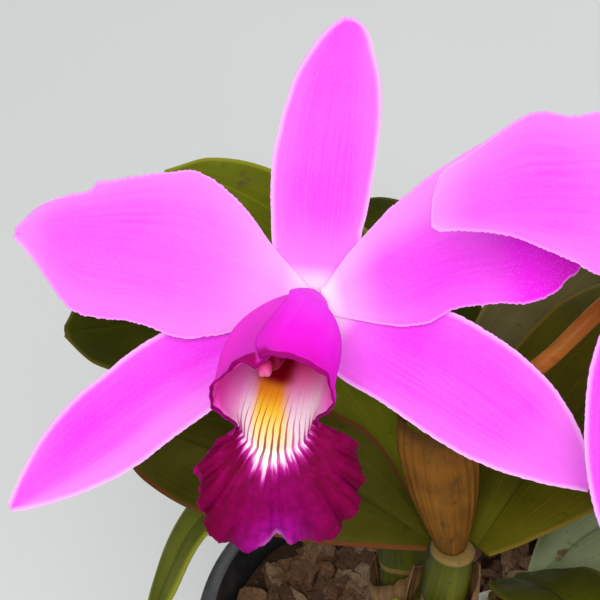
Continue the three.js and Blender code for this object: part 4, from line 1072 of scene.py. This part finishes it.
def make_flower_stem():
    def radius(s, angle):
        return STALK_RADIUS * STALK_SHAPE(s) * (1 + 0.06 * cos(3 * angle) * max(0, s - 0.5))

    stalks = [Path([(2.4, -26.8, 166.8), (-0.4, -26.2, 185), NECK])]
    parts = [stem_mesh(stalks[0], 40, 28, lambda s, angle: STALK_RADIUS * 1.1)[:2]]
    for bloom, swing in zip(BLOOMS.values(), SWINGS):
        back = to_world(bloom, [(0, -5, -22), (0, -1, -10), (0, 0.3, -2.45)])
        stalks.append(Path([(NECK[0], NECK[1], NECK[2] - 6), NECK, *swing, *back]))
        parts.append(stem_mesh(stalks[-1], 110, 32, radius)[:2])
    obj, points = fused("flower_stem_fine", parts, 0.34, 3)
    (foot, *arms), gaps = zip(*(nearest_share(points, curve, 160) for curve in stalks))
    along = np.stack([NECK_SHARE * foot, *(NECK_SHARE + (1 - NECK_SHARE) * arm for arm in arms)])
    nearest = np.stack(gaps).argmin(axis=0)
    finish_skin(obj, "flower_stalk", "flower_stem", "stalk_skin", along=along[nearest, np.arange(len(points))])


make_flower_stem()

SPATHE_HEIGHT = 36
SPATHE_WIDTH = profile(((0, 3.1), (0.2, 5), (0.5, 7.4), (0.8, 8.4), (1, 7.4)))
SPATHE_DEPTH = profile(((0, 3.1), (0.3, 4.6), (0.7, 4.8), (1, 4.4)))


def make_spathe():
    rows, columns = 64, 100
    u, t = grid(steps(rows), steps(columns, -1))
    angle = radians(270 + t * (162 - 40 * u))
    crown = (3 + 2 * cos(angle) ** 2) * u * u + 0.9 * u**5 * wobble(41, columns + 1, 20)
    height = 0.6 + u * SPATHE_HEIGHT + crown
    pleat = 0.12 * cos(t * 44 + sin(4 * u)) * smooth(u, 0.03, 0.2)
    keel = 0.35 * bell(abs(cos(angle)) - 1, 0.04)
    across = (SPATHE_WIDTH(u) + pleat + keel) * cos(angle)
    depth = (SPATHE_DEPTH(u) + pleat) * sin(angle) + 0.25 * sin(5 * u + 3 * t) * smooth(u, 0.1, 0.4)
    points = np.stack([2.4 - 0.15 * height - across, -26.8 + 0.03 * height + depth, 167 + height], -1)
    add_bract("spathe", points, u, t, 36, 18, "spathe_paper")


make_spathe()

# ---------- rhizome and roots ----------
RHIZOME_RADIUS, ROOT_RADIUS = 4.2, 1.7
RHIZOME_ROUTES = (
    ((14, 40, 95), (9, 25, 97), (3, 6, 97), (-2, -13, 97), (-5, -31, 97), (-13, -41, 99)),
    ((3, 4, 97), (14, -4, 97), (22, -12, 97), (28, -20, 98)),
)
ROOT_ROUTES = (
    ((-4, -28, 97), (-18, -25, 100), (-34, -20, 99), (-46, -14, 93)),
    ((-3, -14, 97), (-20, -6, 100), (-34, 6, 99), (-44, 14, 92)),
    ((22, -12, 97), (32, -14, 100), (40, -20, 98), (44, -24, 91)),
    ((3, 6, 97), (20, 14, 100), (36, 16, 99), (46, 22, 92)),
    ((-4, -30, 97), (6, -40, 100), (16, -43, 98), (23, -44, 91)),
)


def rhizome_radius(s, angle):
    ring = 0.5 * max(0, cos(2 * pi * 9 * s)) ** 3
    return (RHIZOME_RADIUS + ring) * (0.75 + 0.25 * sin(pi * s)) + 0.12 * cos(7 * angle)


def root_radius(number):
    return lambda s, angle: (
        ROOT_RADIUS * (1 + 0.07 * sin(23 * s + number)) * (1 - 0.12 * s) + 0.06 * cos(3 * angle))


def make_rhizome():
    curves = [Path(route) for route in RHIZOME_ROUTES + ROOT_ROUTES]
    kinds = np.repeat([0.0, 1.0], [len(RHIZOME_ROUTES), len(ROOT_ROUTES)])
    split = len(RHIZOME_ROUTES)
    parts = [stem_mesh(curve, 120, 28, rhizome_radius)[:2] for curve in curves[:split]]
    parts += [stem_mesh(curve, 80, 20, root_radius(number))[:2] for number, curve in enumerate(curves[split:])]
    obj, points = fused("rhizome_fine", parts, 0.42, 2)
    shares, gaps = map(np.stack, zip(*(nearest_share(points, curve, 90) for curve in curves)))
    nearest = (gaps + 2.6 * kinds[:, None]).argmin(axis=0)
    finish_skin(obj, "rhizome_skin", "rhizome", "root_velamen", along=shares[nearest, np.arange(len(points))],
                kind=kinds[nearest])


make_rhizome()

# ---------- pot ----------
POT_HEIGHT = 105
POT_RIM_RADIUS = 62
POT_BASE_RADIUS = 45
POT_WALL = 1.6
POT_RIM_DEPTH = 9
POT_FOOT = 2.5
PAD_RADIUS = 14
HOLES, HOLE_RADIUS, HOLE_CIRCLE = 6, 5, 33


def pot_radius(height):
    return POT_BASE_RADIUS + (POT_RIM_RADIUS - 3 - POT_BASE_RADIUS) * height / POT_HEIGHT


def make_pot():
    rim_bottom = POT_HEIGHT - POT_RIM_DEPTH
    inner = pot_radius(POT_HEIGHT) - POT_WALL
    outline = [(0, 0), (PAD_RADIUS, 0), (PAD_RADIUS + 1, POT_FOOT)]
    outline += [(POT_BASE_RADIUS - inset, z) for inset, z in (
        (4, POT_FOOT), (3, 0.15), (2.8, 0), (0.5, 0), (0.1, 0.3))]
    outline += [(pot_radius(z), z) for z in (8, 40, 80)]
    outline += [(pot_radius(rim_bottom) - 0.1, rim_bottom - 0.4), (pot_radius(rim_bottom) + 0.2, rim_bottom)]
    outline += [(POT_RIM_RADIUS - inset, z) for inset, z in (
        (1.0, rim_bottom), (0.6, rim_bottom + 0.35), (0.1, POT_HEIGHT - 1.4), (0.05, POT_HEIGHT - 0.9),
        (0.35, POT_HEIGHT - 0.3), (1, POT_HEIGHT))]
    outline += [
        (inner + 0.6, POT_HEIGHT), (inner + 0.15, POT_HEIGHT - 0.2), (inner, POT_HEIGHT - 0.7),
        (pot_radius(60) - POT_WALL, 60), (POT_BASE_RADIUS - POT_WALL, POT_FOOT + POT_WALL),
        (0, POT_FOOT + POT_WALL)]
    sides = 168
    points, faces, rings = [], [], []
    for radius, z in outline:
        first = len(points)
        points += [(radius * cos(a), radius * sin(a), z)
                   for a in turns(sides)[:None if radius else 1]]
        rings.append([first + j for j in range(sides)] if radius else [first] * sides)
    for low, high in zip(rings, rings[1:]):
        faces += [list(dict.fromkeys(quad)) for quad in band(low, high).tolist()]
    obj = add_object("pot_fine", points, faces, "pot_plastic")
    for number in range(HOLES):
        turn = 2 * pi * number / HOLES
        bpy.ops.mesh.primitive_cylinder_add(vertices=40, radius=HOLE_RADIUS * MM, depth=12 * MM, location=(
            HOLE_CIRCLE * cos(turn) * MM, HOLE_CIRCLE * sin(turn) * MM, POT_FOOT * MM))
        cutter = bpy.context.object
        cut = obj.modifiers.new("hole", "BOOLEAN")
        cut.operation, cut.solver, cut.object = "DIFFERENCE", "EXACT", cutter
        baked(obj)
        bpy.data.objects.remove(cutter)
    soften(obj.data, 38)
    settle(obj, "pot")


make_pot()

# ---------- bark ----------
BARK_TOP = 95
BARK_RELIEF = 2.2
CHIP_COUNT = 520
GOLDEN_TURN = 2.39996


def bark_height(x, y):
    lumps = sin(x * 0.19 + 1) * cos(y * 0.23) + 0.6 * sin(x * 0.41 - y * 0.37)
    return BARK_TOP + BARK_RELIEF * (0.5 * lumps + np.exp(-(x * x + y * y) / 900))


def chip_mesh(rng, length):
    """A splintered flake of bark: a rounded block with layered, broken sides."""
    cell_grain_and_glints = range(4)
    places = [(i, j, k) for i in range(5) for j in range(5) for k in range(3)
              if not (i in (1, 2, 3) and j in (1, 2, 3) and k == 1)]
    index = {place: number for number, place in enumerate(places)}
    corners = [((i, j), (i + 1, j), (i + 1, j + 1), (i, j + 1)) for i in cell_grain_and_glints for j in cell_grain_and_glints]
    faces = []
    for corner in corners:
        faces.append([index[(*c, 2)] for c in corner])
        faces.append([index[(*corner[n], 0)] for n in (3, 2, 1, 0)])
    border = [(i, 0) for i in cell_grain_and_glints] + [(4, j) for j in cell_grain_and_glints]
    border += [(4 - i, 4) for i in cell_grain_and_glints] + [(0, 4 - j) for j in cell_grain_and_glints]
    for a, b in zip(border, border[1:] + border[:1]):
        for k in (0, 1):
            faces.append([index[(*a, k)], index[(*b, k)], index[(*b, k + 1)], index[(*a, k + 1)]])
    points = np.array([(i / 2 - 1, j / 2 - 1, k - 1) for i, j, k in places])
    radial = abs(points[:, :2]).max(axis=1)
    squeeze = np.where(radial > 0, radial / np.maximum(np.hypot(points[:, 0], points[:, 1]), 1e-6), 1)
    points[:, :2] *= (0.55 + 0.45 * squeeze)[:, None]
    points[:, :2] *= rng.uniform(0.72, 1.12, len(points))[:, None]
    points[:, 2] += rng.uniform(-0.35, 0.35, len(points)) + 0.5 * sin(3 * points[:, 0] + rng.uniform(0, 6))
    points *= (length / 2, length / 2 * rng.uniform(0.45, 0.8), length * rng.uniform(0.07, 0.16))
    return points, faces


def turned(points, rng, tilt):
    a, b, c = rng.uniform(-tilt, tilt), rng.uniform(-tilt, tilt), rng.uniform(0, 2 * pi)
    turn = Matrix.Rotation(c, 3, "Z") @ Matrix.Rotation(b, 3, "Y") @ Matrix.Rotation(a, 3, "X")
    return points @ np.array(turn).T


def make_bark():
    rng = np.random.default_rng(17)
    top = pot_radius(BARK_TOP) - POT_WALL - 1.0
    low = pot_radius(0) - POT_WALL - 2
    rings, sides = 26, 96
    sunk = 2.2
    turn = turns(sides)
    radius, angle = grid(top * (np.arange(rings + 1) + 0.5) / (rings + 0.5), turn)
    x, y = radius * cos(angle), radius * sin(angle)
    surface = np.stack([x, y, bark_height(x, y) - sunk + rng.uniform(-0.5, 0.5, x.shape)], -1).reshape(-1, 3)
    foot = np.stack([low * cos(turn), low * sin(turn), 0 * turn + POT_FOOT + POT_WALL + 0.35], -1)
    base = len(surface)
    last = base - sides
    faces = grid_faces(rings, sides, wrap=True).tolist() + [list(range(sides))]
    for j in range(sides):
        k = (j + 1) % sides
        faces.append([last + j, base + j, base + k, last + k])
    faces.append([base + j for j in range(sides)][::-1])
    points = [surface, foot]
    count = base + sides
    tints, grains = [np.full(count, 0.1)], [rng.uniform(0, 1, count)]
    for number in range(CHIP_COUNT):
        radius = (top - 5.5) * np.sqrt((number + 0.5) / CHIP_COUNT)
        angle = number * GOLDEN_TURN + rng.uniform(-0.2, 0.2)
        x, y = radius * cos(angle), radius * sin(angle)
        chip, chip_faces = chip_mesh(rng, rng.uniform(5, 12.5))
        chip = turned(chip, rng, 0.5)
        reach = np.hypot(chip[:, 0] + x, chip[:, 1] + y).max()
        if reach > top - 0.2:
            x, y = x * (top - 0.4 - (reach - radius)) / radius, y * (top - 0.4 - (reach - radius)) / radius
        chip = chip + (x, y, float(bark_height(x, y)) - 0.9 + rng.uniform(-1.0, 1.3))
        points.append(chip)
        joined_faces(faces, chip_faces, count)
        count += len(chip)
        shade = float(rng.beta(2.2, 1.6))
        tints.append(np.clip(shade + rng.uniform(-0.04, 0.04, len(chip)), 0, 1))
        grains.append(chip[:, 0] * 0.05 + chip[:, 2] * 0.16 + number * 0.37)
    obj = add_piece("bark_medium", "bark", np.vstack(points), faces, "bark_chips", tint=np.concatenate(tints),
                    grain=np.concatenate(grains))
    soften(obj.data, 42)


make_bark()

# ---------- studio ----------
LIGHT_TARGET = np.array([0.0, -10, 200])
FLOOR_HALF = 6000
SKY_COLOUR, SKY_STRENGTH = (0.92, 0.96, 1.0, 1), 0.45


def add_light(name, place, size, power, colour=(1, 1, 1)):
    data = bpy.data.lights.new(name, "AREA")
    data.shape = "RECTANGLE"
    data.size, data.size_y = size
    data.energy, data.color = power, colour
    place = np.array(place, float)
    out = unit(place - LIGHT_TARGET)
    side = unit(np.cross(np.array([0.0, 0, 1]), out))
    stand(name, data, place, (side, np.cross(out, side), out))


def make_studio():
    corners = [(x * FLOOR_HALF, y * FLOOR_HALF, 0) for x, y in ((-1, -1), (1, -1), (1, 1), (-1, 1))]
    floor = add_object("floor", corners, [[0, 1, 2, 3]], "studio_floor")
    add_light("key", (-255, -1010, 1360), (0.7, 0.7), 18, (1.0, 0.985, 0.96))
    add_light("fill", (420, -1200, 1000), (1.2, 1.2), 9, (0.98, 0.99, 1.0))
    add_light("back", (300, 1100, 1100), (1.2, 0.8), 7)
    world = bpy.data.worlds.new("studio")
    world.use_nodes = True
    sky = world.node_tree.nodes["Background"].inputs
    sky[0].default_value, sky[1].default_value = SKY_COLOUR, SKY_STRENGTH
    bpy.context.scene.world = world
    bpy.context.scene.view_settings.view_transform = "Standard"


make_studio()
